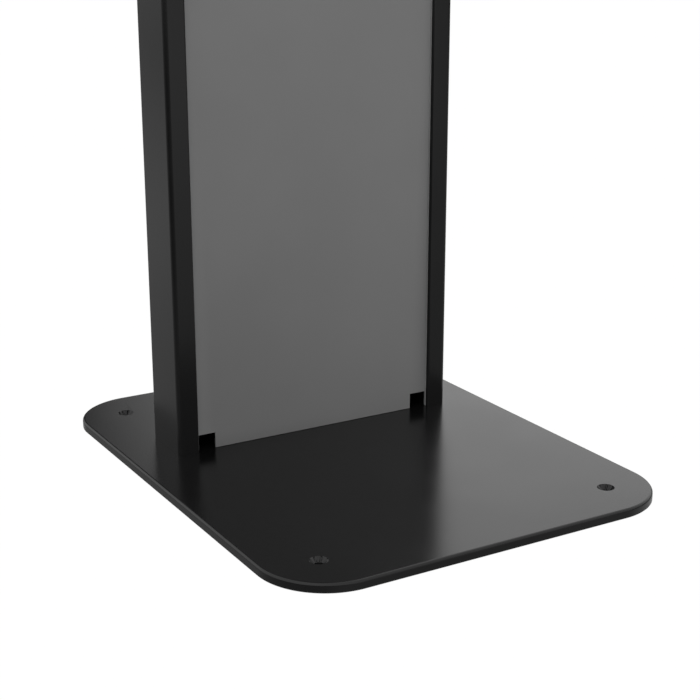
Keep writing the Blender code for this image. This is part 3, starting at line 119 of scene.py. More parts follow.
HINGE_PIN_RADIUS = 1.5
LEAF_SHEET = 1
LEAF_CLEARANCE = 0.2
LOCK_BODY_RADIUS = 8
LOCK_BORE_RADIUS = 5.3
LOCK_STUB_RADIUS = 3
INLET_DEPTH = 17
SWITCH_WELL_FLOOR = 126.5
SOCKET_DEPTH = 13
CONTACT_PITCH = 1.02
FAN_BORE = 27.5
FAN_HOLE_SPACING = 50
FAN_MOTOR = 12
FAN_HUB = 13
FAN_TIP = 26.3
FAN_BLADES = 7
BLADE_REACH = 5.4
BLADE_HALF_THICKNESS = 0.7
BLADE_ROOT_CHORD = 10.5
BLADE_WIDENING = 3.5
BLADE_ROOT_PITCH = 50
BLADE_TWIST = 16
BLADE_CAMBER = 0.32
LEAD_Y = 99
GAP = 0.3
SEAM = 0.02

FOOT_SCREWS = [side + "_" + end + "_foot_screw" for side in ("left", "right") for end in ("front", "back")]
CAP_SCREWS = ["left_cap_screw", "right_cap_screw"]
COVER_SCREWS = [side + "_" + end + "_cover_screw" for side in ("left", "right") for end in ("lower", "upper")]
SPEAKERS = ["left_speaker", "right_speaker"]
FANS = ["left_fan", "right_fan"]

# Round a fan blade's section: shares of the chord from its middle, and of half the thickness across it
BLADE_SECTION = [(-0.5, 0.3), (-0.2, 0.9), (0.15, 1.0), (0.42, 0.5), (0.5, 0.1), (0.42, -0.5), (0.15, -1.0),
                 (-0.2, -0.9), (-0.5, -0.3)]

# Camera, as the object was seen
CAMERA_LENS = 75.0756
CAMERA_SENSOR = 36
CAMERA_PLACE = (-0.767977, -1.301319, 0.593630)
CAMERA_TURN = (90 - 17.2984, 0, -30.5649)


# ---- places and outlines

def box(node, axis="Y", raised=0):
    """Low and high corner of a CAD node, with its middle and size across the axis.

    Places are exact to 0.0001 mm.  Where raised is given, that much of the box's lower end is left out.
    """
    low, high = (Vector(round(place / MM, 4) for place in corner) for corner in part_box(node))
    low.z += raised
    middle, size = (low + high) / 2, high - low
    u, v = ACROSS[axis]
    return low, high, (middle[u], middle[v]), (size[u], size[v])


def centre_of(node):
    """(x, z) middle of the node."""
    return box(node)[2]


def at(axis, u, v, place):
    """Point in metres with (u, v) across the axis and place along it."""
    point = [place, place, place]
    point[ACROSS[axis][0]] = u
    point[ACROSS[axis][1]] = v
    return [value * MM for value in point]


def about(middle, half):
    return middle - half, middle + half


def spread(middle, pitch, count):
    """Evenly spaced places about a middle one."""
    return [middle + (index - (count - 1) / 2) * pitch for index in range(count)]


def corners(centre, size, from_side, from_end=None):
    """Places in from the four corners of a rectangle."""
    ends = about(centre[1], size[1] / 2 - (from_end or from_side))
    return [(u, v) for u in about(centre[0], size[0] / 2 - from_side) for v in ends]


def polar(centre, radius, angle):
    return centre[0] + radius * cos(angle), centre[1] + radius * sin(angle)


def circle(centre, radius, sides):
    return [polar(centre, radius, 2 * pi * step / sides) for step in range(sides)]


def rounded(centre, size, radius, steps=6, low_u_radius=None):
    """Rectangle with quarter-round corners; those on the low side of u may differ."""
    points = []
    for quarter, (side_u, side_v) in enumerate([(1, 1), (-1, 1), (-1, -1), (1, -1)]):
        r = low_u_radius if low_u_radius and side_u < 0 else radius
        middle = (centre[0] + side_u * (size[0] / 2 - r), centre[1] + side_v * (size[1] / 2 - r))
        points += [polar(middle, r, (quarter + step / steps) * pi / 2) for step in range(steps + 1)]
    return points


def stadium(start, end, radius, steps=8):
    along = atan2(end[1] - start[1], end[0] - start[0])
    points = []
    for centre, first in ((end, along - pi / 2), (start, along + pi / 2)):
        points += [polar(centre, radius, first + pi * step / steps) for step in range(steps + 1)]
    return points


def shifted(outline, centre):
    return [(centre[0] + u, centre[1] + v) for u, v in outline]


def inset(outline, distance):
    """The outline moved inward, square to each of its sides."""
    moved = []
    for k, here in enumerate(outline):
        before, after = outline[k - 1], outline[(k + 1) % len(outline)]
        normals = []
        for (u0, v0), (u1, v1) in ((before, here), (here, after)):
            length = hypot(u1 - u0, v1 - v0)
            normals.append(((v0 - v1) / length, (u1 - u0) / length))
        (a_u, a_v), (b_u, b_v) = normals
        share = distance / (1 + a_u * b_u + a_v * b_v)
        moved.append((here[0] + (a_u + b_u) * share, here[1] + (a_v + b_v) * share))
    return moved


# ---- sections: (outline, place) pairs

def quarter_round(radius, steps=6):
    """How far in and how far down each step of a rounded edge is, from its side to its top."""
    turn = [pi / 2 * step / steps for step in range(steps + 1)]
    return [(radius * (1 - cos(angle)), radius * (1 - sin(angle))) for angle in turn]


def soft(outline, low, high, edge, steps=2, hole=False):
    """Extrusion whose two ends are rounded by the edge radius."""
    side = -1 if hole else 1
    arc = [(side * shift, rise) for rise, shift in quarter_round(edge, steps)]
    sections = [(inset(outline, shift), low + rise) for shift, rise in arc]
    return sections + [(inset(outline, shift), high - rise) for shift, rise in reversed(arc)]


def lidded(outline, low, high, chamfer, rounding, steps=6):
    """Extrusion with a chamfer round its low end and a quarter round at its high one."""
    sections = [(inset(outline, chamfer), low), (outline, low + chamfer)]
    return sections + [(inset(outline, shift), high - drop) for shift, drop in quarter_round(rounding, steps)]


def pocket(outline, mouth, floor, edge):
    """Blind recess, from its softened mouth to its floor."""
    inward = copysign(edge, floor - mouth)
    return [(inset(outline, -edge), mouth), (outline, mouth + inward), (outline, floor)]


def turned(profile, centre, sides=64):
    """Solid of revolution through (radius, place) pairs."""
    return [(circle(centre, radius, sides), place) for radius, place in profile]


def round_hole(centre, radius, sides, low, high, edge, steps=2):
    return soft(circle(centre, radius, sides), low, high, edge, steps, hole=True)


def slot_hole(start, end, radius, low, high, steps=8):
    return soft(stadium(start, end, radius, steps), low, high, edge=0.2, hole=True)


def thread(centre, radius, tip, end, pitch, sides=20):
    """Coned tip and a screw thread that runs out at both ends."""
    per_turn, run_out = 6, 4
    start = tip + copysign(0.4, end - tip)
    count = round(abs(end - start) / pitch * per_turn)
    sections = [(circle(centre, radius - 0.5, sides), tip)]
    for k in range(count + 1):
        place = start + (end - start) * k / count
        depth = 0.5 * pitch * min(1, k / run_out, (count - k) / run_out)
        ring = []
        for step in range(sides):
            turn = step / sides
            groove = depth * (1 - abs(2 * ((place / pitch + turn) % 1) - 1))
            ring.append(polar(centre, radius - groove, 2 * pi * turn))
        sections.append((ring, place))
    return sections


def hex_socket(centre, mouth, floor, radius):
    """A six-sided recess for a key, with a coned mouth and a drilled floor."""
    edge = copysign(0.25, floor - mouth)
    profile = [(radius + abs(edge), mouth), (radius, mouth + edge), (radius, floor),
               (radius * 0.15, floor + 2 * edge)]
    return turned(profile, centre, 6)


# ---- meshes and pieces

def walls(bm, rings, ends=()):
    """Faces between each ring of vertices and the next, and over the rings named as ends."""
    for lower, upper in zip(rings, rings[1:]):
        for k in range(len(lower)):
            bm.faces.new((lower[k - 1], lower[k], upper[k], upper[k - 1]))
    for end in ends:
        bm.faces.new(rings[end])


def cap(bm, loops):
    if len(loops) == 1:
        bm.faces.new(loops[0])
        return
    edges = []
    for loop in loops:
        edges += [bm.edges.get((loop[k - 1], loop[k])) for k in range(len(loop))]
    bmesh.ops.triangle_fill(bm, use_beauty=True, edges=edges)


def shell(bm, axis, outer, holes=(), pockets=()):
    """Closed shell.  Holes run from the first face of outer to its last; pockets start in the last."""
    first, last = [], []
    for kind, group in (("outer", [outer]), ("hole", holes), ("pocket", pockets)):
        for sections in group:
            rings = [[bm.verts.new(at(axis, u, v, place)) for u, v in outline] for outline, place in sections]
            if kind == "pocket":
                walls(bm, rings, ends=(-1,))
                last.append(rings[0])
            else:
                walls(bm, rings)
                first.append(rings[0])
                last.append(rings[-1])
    cap(bm, first)
    cap(bm, last)


def shelled(axis, outer, holes=(), pockets=()):
    """The shell in a bmesh of its own."""
    bm = bmesh.new()
    shell(bm, axis, outer, holes, pockets)
    return bm


def brick(bm, axis, x_range, y_range, z_range, edge):
    """Block with rounded edges round its two faces across the axis."""
    ranges = (x_range, y_range, z_range)
    (u_low, u_high), (v_low, v_high) = (ranges[k] for k in ACROSS[axis])
    centre = ((u_low + u_high) / 2, (v_low + v_high) / 2)
    outline = rounded(centre, (u_high - u_low, v_high - v_low), edge * 1.5, 2)
    shell(bm, axis, soft(outline, *ranges["XYZ".index(axis)], edge))


def mesh_from(bm, name):
    bmesh.ops.recalc_face_normals(bm, faces=bm.faces)
    mesh = bpy.data.meshes.new(name)
    bm.to_mesh(mesh)
    bm.free()
    return mesh


def new_object(name, data):
    made = bpy.data.objects.new(name, data)
    bpy.context.collection.objects.link(made)
    return made


def piece(name, source, look, body="root", edge=0):
    """One piece.  It rides on its body, and stands for the CAD node of its name where there is one.

    The source is a bmesh or a mesh.  An edge radius rounds every corner sharper than SMOOTH_BELOW.
    """
    fine_name = "fine_" + name
    mesh = source if isinstance(source, bpy.types.Mesh) else mesh_from(source, fine_name)
    obj = new_object(fine_name, mesh)
    mesh.materials.clear()
    mesh.materials.append(LOOKS[look])
    mesh.shade_smooth()
    if edge:
        bevel = obj.modifiers.new("rounded edges", "BEVEL")
        bevel.width = edge * MM
        bevel.segments = 2
        bevel.limit_method = "ANGLE"
        bevel.angle_limit = SMOOTH_BELOW
        bevel.harden_normals = True
    else:
        mesh.set_sharp_from_angle(angle=SMOOTH_BELOW)
        weighted = obj.modifiers.new("flat faces stay flat", "WEIGHTED_NORMAL")
        weighted.keep_sharp = True
    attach(obj, body)
    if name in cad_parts:
        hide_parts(name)


def refined(node, look, edge, body="root"):
    """A copy of a CAD node whose shape is right, with its edges rounded."""
    bm = bmesh.new()
    bm.from_mesh(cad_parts[node].data)
    bmesh.ops.remove_doubles(bm, verts=bm.verts, dist=MM * MM)
    bmesh.ops.dissolve_limit(bm, angle_limit=radians(1), verts=bm.verts, edges=bm.edges)
    piece(node, bm, look, body, edge)


def carved(target_bm, cutter_bm):
    """The first shape with the second cut away from it, as a mesh."""
    target = new_object("target", mesh_from(target_bm, "target"))
    cutter = new_object("cutter", mesh_from(cutter_bm, "cutter"))
    boolean = target.modifiers.new("cut", "BOOLEAN")
    boolean.operation = "DIFFERENCE"
    boolean.solver = "EXACT"
    boolean.object = cutter
    graph = bpy.context.evaluated_depsgraph_get()
    result = bpy.data.meshes.new_from_object(target.evaluated_get(graph))
    for obj in (target, cutter):
        bpy.data.objects.remove(obj, do_unlink=True)
    return result


# ---- materials

def feed(socket, value):
    """Sets an input to a number or colour, or links it to another node's output."""
    if isinstance(value, bpy.types.NodeSocket):
        socket.id_data.links.new(value, socket)
    else:
        socket.default_value = value


def feed_all(node, **inputs):
    for name, value in inputs.items():
        feed(node.inputs[name.replace("_", " ")], value)


def new_node(tree, kind, **inputs):
    made = tree.nodes.new("ShaderNode" + kind)
    feed_all(made, **inputs)
    return made


def coordinates(tree, kind):
    return new_node(tree, "TexCoord").outputs[kind]


def texture(tree, scale, detail=2.0, stretch=(1, 1, 1), kind="TexNoise", output="Fac"):
    """Procedural texture in the piece's own coordinates."""
    place = new_node(tree, "Mapping", Vector=coordinates(tree, "Object"), Scale=stretch)
    made = new_node(tree, kind, Vector=place.outputs["Vector"], Scale=scale)
    if "Detail" in made.inputs:
        feed(made.inputs["Detail"], detail)
    return made.outputs[output]


def ramp(tree, factor, dark, light, low=0.35, high=0.65):
    """Colour that goes from dark to light as the factor goes from low to high."""
    made = new_node(tree, "ValToRGB", Fac=factor)
    for element, place, colour in zip(made.color_ramp.elements, (low, high), (dark, light)):
        element.position = place
        element.color = (*colour, 1)
    return made.outputs["Color"]


def between(tree, factor, low, high, from_low=0.35, from_high=0.65):
    """Value that goes from low to high as the factor goes from from_low to from_high."""
    made = new_node(tree, "MapRange", Value=factor, From_Min=from_low, From_Max=from_high, To_Min=low,
                    To_Max=high)
    return made.outputs["Result"]


def mixed(tree, factor, first, second):
    """Colour that goes from the first to the second as the factor goes from 0 to 1."""
    made = new_node(tree, "Mix")
    made.data_type = "RGBA"
    feed_all(made, Factor=factor, A=first, B=second)
    return made.outputs["Result"]


def math_node(tree, operation, *values):
    made = new_node(tree, "Math")
    made.operation = operation
    for socket, value in zip(made.inputs, values):
        feed(socket, value)
    return made.outputs["Value"]


def new_material(name, **sockets):
    """Material, its node tree and its shader, with the given sockets set."""
    made = bpy.data.materials.new("look_" + name)
    made.use_nodes = True
    shader = made.node_tree.nodes["Principled BSDF"]
    feed_all(shader, **sockets)
    return made, made.node_tree, shader


def new_look(name, metallic=0.0, **sockets):
    LOOKS[name], tree, shader = new_material(name, Metallic=metallic, **sockets)
    return tree, shader


def finish(tree, shader, colour, roughness, height, depth):
    """Wires the colour, the roughness and a relief of the given depth to the shader."""
    relief = new_node(tree, "Bump", Distance=depth * MM, Height=height)
    feed_all(shader, Base_Color=colour, Roughness=roughness, Normal=relief.outputs["Normal"])


def coated(name, dark, light, mottle, roughness, grain, relief, metallic=0.0, **sockets):
    """Paint, plastic, rubber or metal.

    The colour and the roughness vary over patches of 1/mottle metres, and the
    relief follows grains of 1/grain metres.
    """
    tree, shader = new_look(name, metallic, **sockets)
    patches = texture(tree, mottle, 3.0)
    finish(tree, shader, ramp(tree, patches, dark, light), between(tree, patches, *roughness),
           texture(tree, grain), relief)


def zinc_look():
    """Zinc plating: small crystal spangles, each with its own tone and gloss."""
    tree, shader = new_look("zinc_steel", 1.0)
    cells = texture(tree, 260, kind="TexVoronoi", output="Color")
    tone = new_node(tree, "SeparateColor", Color=cells).outputs
    finish(tree, shader, ramp(tree, tone["Red"], (0.42, 0.43, 0.44), (0.6, 0.61, 0.62), 0, 1),
           between(tree, tone["Green"], 0.28, 0.46, 0, 1), texture(tree, 900), 0.004)


def brushed_look():
    """Folded aluminium with a grain that runs up the case."""
    tree, shader = new_look("aluminium_case", 1.0)
    lines = texture(tree, 900, 3.0, (1, 1, 0.02))
    finish(tree, shader, ramp(tree, lines, (0.42, 0.43, 0.44), (0.58, 0.59, 0.6)),
           between(tree, lines, 0.3, 0.44), lines, 0.006)


def board_look():
    """Green solder mask over square-cornered copper tracks, with tinned pads."""
    tree, shader = new_look("circuit_board", Specular_IOR_Level=0.55)
    tracks = new_node(tree, "TexVoronoi")
    tracks.distance = "CHEBYCHEV"
    tracks.feature = "F2"
    feed_all(tracks, Vector=coordinates(tree, "Object"), Scale=240, Randomness=0.75)
    edges = math_node(tree, "PINGPONG", tracks.outputs["Distance"], 0.16)
    mask = ramp(tree, edges, (0.012, 0.085, 0.035), (0.03, 0.17, 0.07), 0.055, 0.075)
    pads = texture(tree, 430, kind="TexVoronoi", output="Distance")
    tin = (0.6, 0.58, 0.5, 1)
    finish(tree, shader, mixed(tree, between(tree, pads, 1, 0, 0.1, 0.13), mask, tin),
           between(tree, edges, 0.5, 0.32, 0.05, 0.08), edges, 0.03)


def glass_look():
    """Cover glass over a dark screen: its printed border is a shade blacker than the screen."""
    tree, shader = new_look("cover_glass", IOR=1.52)
    low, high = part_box("lcd_panel")
    split = new_node(tree, "SeparateXYZ", Vector=coordinates(tree, "Object")).outputs
    from_edge = []
    for axis, border in SCREEN_BORDERS.items():
        start = getattr(low, axis) + border * MM
        end = getattr(high, axis) - border * MM
        along = math_node(tree, "SUBTRACT", split[axis.upper()], (start + end) / 2)
        from_edge.append(math_node(tree, "SUBTRACT", (end - start) / 2, math_node(tree, "ABSOLUTE", along)))
    inside = math_node(tree, "MINIMUM", *from_edge)
    border_black, screen_black = (0.0015, 0.0015, 0.0016), (0.009, 0.0095, 0.011)
    smears = texture(tree, 14, 4.0, (1, 1, 0.5))
    feed_all(shader, Base_Color=ramp(tree, inside, border_black, screen_black, 0, 0.4 * MM),
             Roughness=between(tree, smears, 0.025, 0.06, 0.45, 0.7))


def grey(value):
    return value, value, value


def looks():
    coated("black_paint", grey(0.003), (0.0042, 0.0042, 0.0044), 9, (0.2, 0.24), 1100, 0.004, IOR=1.45)
    coated("grey_paint", grey(0.219), grey(0.23), 7, (0.52, 0.58), 1300, 0.006, Specular_IOR_Level=0.3)
    coated("screw_steel", (0.07, 0.07, 0.073), (0.12, 0.12, 0.125), 500, (0.3, 0.42), 2600, 0.006, 1.0)
    coated("chrome_lock", (0.66, 0.66, 0.67), (0.76, 0.76, 0.77), 180, (0.08, 0.16), 1500, 0.002, 1.0)
    coated("black_plastic", grey(0.013), (0.021, 0.021, 0.022), 220, (0.38, 0.5), 2400, 0.02)
    coated("backlight_case", (0.42, 0.43, 0.44), (0.5, 0.51, 0.52), 40, (0.42, 0.55), 1800, 0.006)
    coated("screen_cell", (0.006, 0.006, 0.007), (0.013, 0.013, 0.015), 60, (0.2, 0.28), 2500, 0.003)
    coated("foam", grey(0.02), grey(0.042), 1500, (0.85, 0.95), 1900, 0.12)
    coated("cable_jacket", grey(0.02), grey(0.03), 160, (0.45, 0.6), 1700, 0.02)
    coated("speaker_cone", grey(0.025), grey(0.045), 1400, (0.7, 0.85), 2200, 0.05)
    coated("gold_contact", (0.72, 0.5, 0.17), (0.85, 0.62, 0.26), 700, (0.16, 0.28), 2500, 0.002, 1.0)
    zinc_look()
    brushed_look()
    board_look()
    glass_look()


# ---- base, posts, frame

def fluted(centre, radius, depth):
    """Circle with narrow flutes cut outward from it at even places."""
    steps_apart = 12
    half_width = 3
    points = []
    for step in range(FLUTES * steps_apart):
        from_flute = min(step % steps_apart, -step % steps_apart)
        reach = radius + depth * max(0, 1 - (from_flute / half_width) ** 2)
        points.append(polar(centre, reach, 2 * pi * step / (FLUTES * steps_apart)))
    return points


def floor_hole(centre, low, high):
    """Countersunk hole with flutes in its cone."""
    edge = 0.25
    neck = high - FLOOR_SINK_RADIUS + FLOOR_HOLE_RADIUS
    profile = [(FLOOR_HOLE_RADIUS + edge, low, 0), (FLOOR_HOLE_RADIUS, low + edge, 0),
               (FLOOR_HOLE_RADIUS, neck - edge, 0), (FLOOR_HOLE_RADIUS + edge, neck + edge, FLUTE_DEPTH),
               (FLOOR_SINK_RADIUS - FLUTE_DEPTH, high - FLUTE_DEPTH, FLUTE_DEPTH),
               (FLOOR_SINK_RADIUS, high - 0.5 * edge, 0), (FLOOR_SINK_RADIUS + edge, high, 0)]
    return [(fluted(centre, radius, depth), place) for radius, place, depth in profile]


def base_plate():
    low, high, centre, size = box("base_plate", "Z")
    holes = [floor_hole(place, low.z, high.z) for place in corners(centre, size, FLOOR_HOLE_INSET)]
    for name in FOOT_SCREWS:
        *_, place, (head_width, _) = box(name, "Z")
        shank = head_width / 4 + FOOT_SCREW_CLEARANCE
        mouth = head_width / 2 + 0.7
        profile = [(mouth, low.z), (shank, low.z + mouth - shank), (shank, high.z)]
        holes.append(turned(profile, place, 32))
    outline = rounded(centre, size, PLATE_CORNER, 32)
    sections = lidded(outline, low.z, high.z, PLATE_CHAMFER, PLATE_ROUNDING, 8)
    piece("base_plate", shelled("Z", sections, holes), "black_paint")


def socket_screw(node, head_up, pitch, edge, land, key_depth, key_radius):
    """Countersunk screw with a threaded shank and a recess for a key."""
    low, high, centre, size = box(node, "Z")
    tip, face, up = (low.z, high.z, 1) if head_up else (high.z, low.z, -1)
    head = size[0] / 2
    shank = head / 2
    sections = thread(centre, shank, tip, face - up * head, pitch)
    sections += turned([(shank, face - up * (head - shank + 0.1)), (head - edge, face - up * land),
                        (head - 2 * edge, face)], centre, 20)
    key = hex_socket(centre, face, face - up * key_depth, key_radius)
    piece(node, shelled("Z", sections, pockets=[key]), "screw_steel")


def foot_screws():
    for name in FOOT_SCREWS:
        socket_screw(name, False, pitch=0.8, edge=0.15, land=0.25, key_depth=2.2, key_radius=2)


def posts():
    for name in ("left_post", "right_post"):
        low, high, centre, size = box(name, "Z")
        radii = (POST_INNER_CORNER, POST_CORNER) if centre[0] < 0 else (POST_CORNER, POST_INNER_CORNER)
        outer = rounded(centre, size, radii[0], 12, radii[1])
        bore = rounded(centre, [side - 2 * POST_WALL for side in size], POST_CORNER - POST_WALL)
        foot = low.z - GAP + SEAM
        foot_arc = 3
        sections = [(outer, foot)] + soft(outer, foot, high.z, edge=0.3)[foot_arc:]
        piece(name, shelled("Z", sections, [[(bore, foot), (bore, high.z)]]), "black_paint")


def top_cap():
    low, high, centre, size = box("top_cap", "Z")
    holes = []
    for name in CAP_SCREWS:
        *_, place, (head_width, _) = box(name, "Z")
        shank = head_width / 4 + CAP_SCREW_CLEARANCE
        mouth = head_width / 2 + 0.3
        rim = high.z - 0.3
        profile = [(shank, low.z), (shank, rim - mouth + shank), (mouth, rim), (mouth + 0.1, high.z)]
        holes.append(turned(profile, place, 40))
    sections = lidded(rounded(centre, size, POST_CORNER, 12), low.z, high.z, 0.3, CAP_EDGE)
    piece("top_cap", shelled("Z", sections, holes), "black_paint")
    for name in CAP_SCREWS:
        socket_screw(name, True, pitch=0.7, edge=0.1, land=0.15, key_depth=1.4, key_radius=1.25)


def plain_copies():
    for look, edge, nodes in (
            ("black_paint", 0.6, ("bottom_rail", "middle_rail", "top_rail")),
            ("zinc_steel", 0.6, ("left_foot_block", "right_foot_block")),
            ("zinc_steel", 0.35, ("left_display_channel", "right_display_channel", "equipment_plate",
                                  "lock_keeper")),
            ("grey_paint", 0.12, ("lower_front_panel",)),
            ("black_paint", 0.3, ("rear_connector_panel",)),
            ("foam", 0.4, ("screen_gasket",)),
            ("screen_cell", 0.3, ("lcd_panel",)),
            ("backlight_case", 0.6, ("backlight_unit",))):
        for node in nodes:
            refined(node, look, edge)


# ---- front: grille, speakers, glass, boards

def speaker_grille():
    low, high, centre, size = box("speaker_grille")
    reach = (SLOT_LENGTH - SLOT_WIDTH) / 2
    bottom, top = about(centre[1], reach)
    holes = []
    for speaker in SPEAKERS:
        for x in spread(centre_of(speaker)[0], SLOT_PITCH, SLOT_COUNT):
            holes.append(slot_hole((x, bottom), (x, top), SLOT_WIDTH / 2, low.y, high.y))
    sections = soft(rounded(centre, size, 0.6, 3), low.y, high.y, edge=0.25)
    piece("speaker_grille", shelled("Y", sections, holes), "black_paint")


def cone_profile(front):
    """From the rim over the roll surround and down the cone to the dust cap."""
    rim = SPEAKER_CONE_RADIUS - 0.5
    cap_front = front + 4.6
    profile = [(rim, front + 6), (rim, front + 0.2), (rim - 0.3, front)]
    for step in range(1, 7):
        angle = pi * step / 6
        profile.append((rim - 1.3 + cos(angle), front + 0.2 - sin(angle) * 0.5))
    profile += [(DUST_CAP_RADIUS + 0.4, cap_front), (DUST_CAP_RADIUS + 0.1, cap_front + 0.1)]
    for step in range(1, 6):
        angle = pi / 2 * step / 6
        profile.append((DUST_CAP_RADIUS * cos(angle), cap_front - sin(angle) * 1.5))
    return profile


def speakers():
    """Box with a screwed frame and a magnet behind, and a cone in it."""
    for node in SPEAKERS:
        low, high, centre, size = box(node)
        back = high.y - SPEAKER_MAGNET
        bore = SPEAKER_CONE_RADIUS
        screw_hole = [(1.8, low.y), (1.6, low.y + 1.2)]
        pockets = [turned(screw_hole, place, 20) for place in corners(centre, size, SPEAKER_SCREW_INSET)]
        well = [(bore, low.y), (bore - 0.2, low.y + 0.4), (bore - 0.3, low.y + SPEAKER_WELL)]
        pockets.append(turned(well, centre))
        sections = soft(rounded(centre, size, 4, 8), low.y, back, edge=0.5)
        bm = shelled("Y", sections[::-1], pockets=pockets)
        magnet = [(SPEAKER_MAGNET_RADIUS - 0.5, high.y), (SPEAKER_MAGNET_RADIUS, high.y - 0.5),
                  (SPEAKER_MAGNET_RADIUS, back + 1.6), (9, back + 1.5), (9, back - 0.5)]
        shell(bm, "Y", turned(magnet, centre))
        piece(node, bm, "black_plastic")
        cone = shelled("Y", turned(cone_profile(low.y + 0.6), centre))
        piece(node + "_cone", cone, "speaker_cone")


def touch_glass():
    low, high, centre, size = box("touch_glass")
    sections = soft(rounded(centre, size, GLASS_CORNER, 10), low.y, high.y, 0.35, 3)
    piece("touch_glass", shelled("Y", sections), "cover_glass")


def chip(plastic, metal, centre, side, back):
    """Square package with a row of legs along each of its sides."""
    x, z = centre
    half = side / 2
    legs = (back + SEAM, back + 0.4)
    brick(plastic, "Y", about(x, half), (back + 0.15, back + 1.5), about(z, half), 0.15)
    for shift in spread(0, LEG_PITCH, int(side / LEG_ROOM)):
        for sign in (-1, 1):
            near, far = sorted((sign * (half - 0.2), sign * (half + 0.8)))
            brick(metal, "Y", about(x + shift, 0.2), legs, (z + near, z + far), 0.05)
            brick(metal, "Y", (x + near, x + far), legs, about(z + shift, 0.2), 0.05)


def board_port(plastic, metal, x, low, back, front):
    """Connector with a row of solder pins, its mouth past the board's lower edge."""
    centre = (x, (back + front) / 2)
    depth = front - back
    top = low + BOARD_PORT_SIZE
    outline = rounded(centre, (BOARD_PORT_SIZE, depth), 0.5, 3)
    mouth = rounded(centre, (BOARD_PORT_SIZE - 1.6, depth - 1.4), 0.3, 3)
    shell(plastic, "Z", soft(outline, low, top, edge=0.25)[::-1], pockets=[pocket(mouth, low, low + 6, 0.2)])
    for pin_x in spread(x, PORT_PIN_PITCH, 9):
        brick(metal, "Y", about(pin_x, 0.25), (back + SEAM, back + 0.5), (top - 0.5, top + 1.6), 0.05)


def small_parts(plastic, metal, low, size, back, taken):
    """Rows of resistors and the like, clear of what is already on the board."""
    row_pitch, column_pitch = 9, 5
    for row in range(1, int(size[1] / row_pitch)):
        for column in range(1, int(size[0] / column_pitch)):
            across, up = column * column_pitch, row * row_pitch
            busy = any(max(abs(across - a), abs(up - u)) < side * 0.75 + 2 for a, u, side in taken)
            if busy or (row * 3 + column * 5) % 4 == 0:
                continue
            tall = 0.9 if (row + column) % 2 else 0.5
            target = plastic if (row + column) % 3 else metal
            brick(target, "Y", about(low.x + across, tall), (back + SEAM, back + tall),
                  about(low.z + up, 0.45), 0.08)


def circuit_board(node, chips, capacitors, ports):
    """Board with stand-offs and screws, packages with legs, capacitors, small parts and connectors.

    Chips are (across, up, side) and capacitors (across, up, radius) from the board's low corner.
    """
    low, high, centre, size = box(node, raised=BOARD_PORT_OVERHANG)
    back = high.y - BOARD_PORT_DEPTH
    front = back - BOARD_THICKNESS
    on_board = back + SEAM
    screws = corners(centre, size, BOARD_HOLE_INSET)
    holes = [turned([(1.6, front), (1.6, back)], place, 24) for place in screws]
    sections = soft(rounded(centre, size, 1.5, 5), front, back, 0.1, 1)
    piece(node, shelled("Y", sections, holes), "circuit_board")

    metal = bmesh.new()
    plastic = bmesh.new()
    for place in screws:
        shell(metal, "Y", soft(circle(place, 2.8, 6), low.y, front - SEAM, edge=0.2))
        head = [(1.4, front + 0.4), (1.4, on_board), (2.6, on_board), (2.6, back + 0.6), (1.9, back + 1.2)]
        key = turned([(1, back + 1.2), (0.7, back + 0.7)], place, 6)
        shell(metal, "Y", turned(head, place, 24), pockets=[key])
    for across, up, side in chips:
        chip(plastic, metal, (low.x + across, low.z + up), side, back)
    for across, up, radius in capacitors:
        can = [(radius, on_board), (radius, back + 0.6), (radius - 0.25, back + 0.9), (radius, back + 1.2),
               (radius, back + 4.6), (radius - 0.4, back + 5)]
        shell(metal, "Y", turned(can, (low.x + across, low.z + up), 32))
    taken = chips + [(across, up, 1.4 * radius) for across, up, radius in capacitors]
    small_parts(plastic, metal, low, size, back, taken)
    for x in ports:
        board_port(plastic, metal, x, low.z - BOARD_PORT_OVERHANG, back, high.y)
    piece(node + "_packages", plastic, "black_plastic")
    piece(node + "_metal", metal, "zinc_steel")


def circuit_boards():
    circuit_board("display_driver_board", [(50, 46, 16), (22, 52, 9), (76, 24, 8)],
                  [(78, 62, 4), (88, 62, 4), (14, 26, 3)], [VIDEO_PORT_X, DISPLAY_POWER_X])
    circuit_board("touch_controller_board", [(22, 16, 7)], [(46, 20, 2)], [TOUCH_PORT_X])


# ---- equipment bay

def flat_head(bm, centre, base, height, radius, axis="Y"):
    """Pan head screw with a cross recess; the height's sign says which way it stands."""
    top = base + height
    profile = [(1, 0), (1, 0.35), (0.92, 0.65), (0.75, 0.88), (0.52, 1)]
    head = turned([(radius * out, base + height * up) for out, up in profile], centre, 32)
    cross = []
    arm, flank, notch = 0.42, 0.2, 0.13
    for quarter in range(4):
        for step, reach in enumerate((arm, flank, notch, flank)):
            cross.append(polar(centre, reach * radius, pi / 2 * (quarter + step / 4)))
    recess = [(cross, top), (inset(cross, 0.04 * radius), top - height * 0.5)]
    shell(bm, axis, head, pockets=[recess])


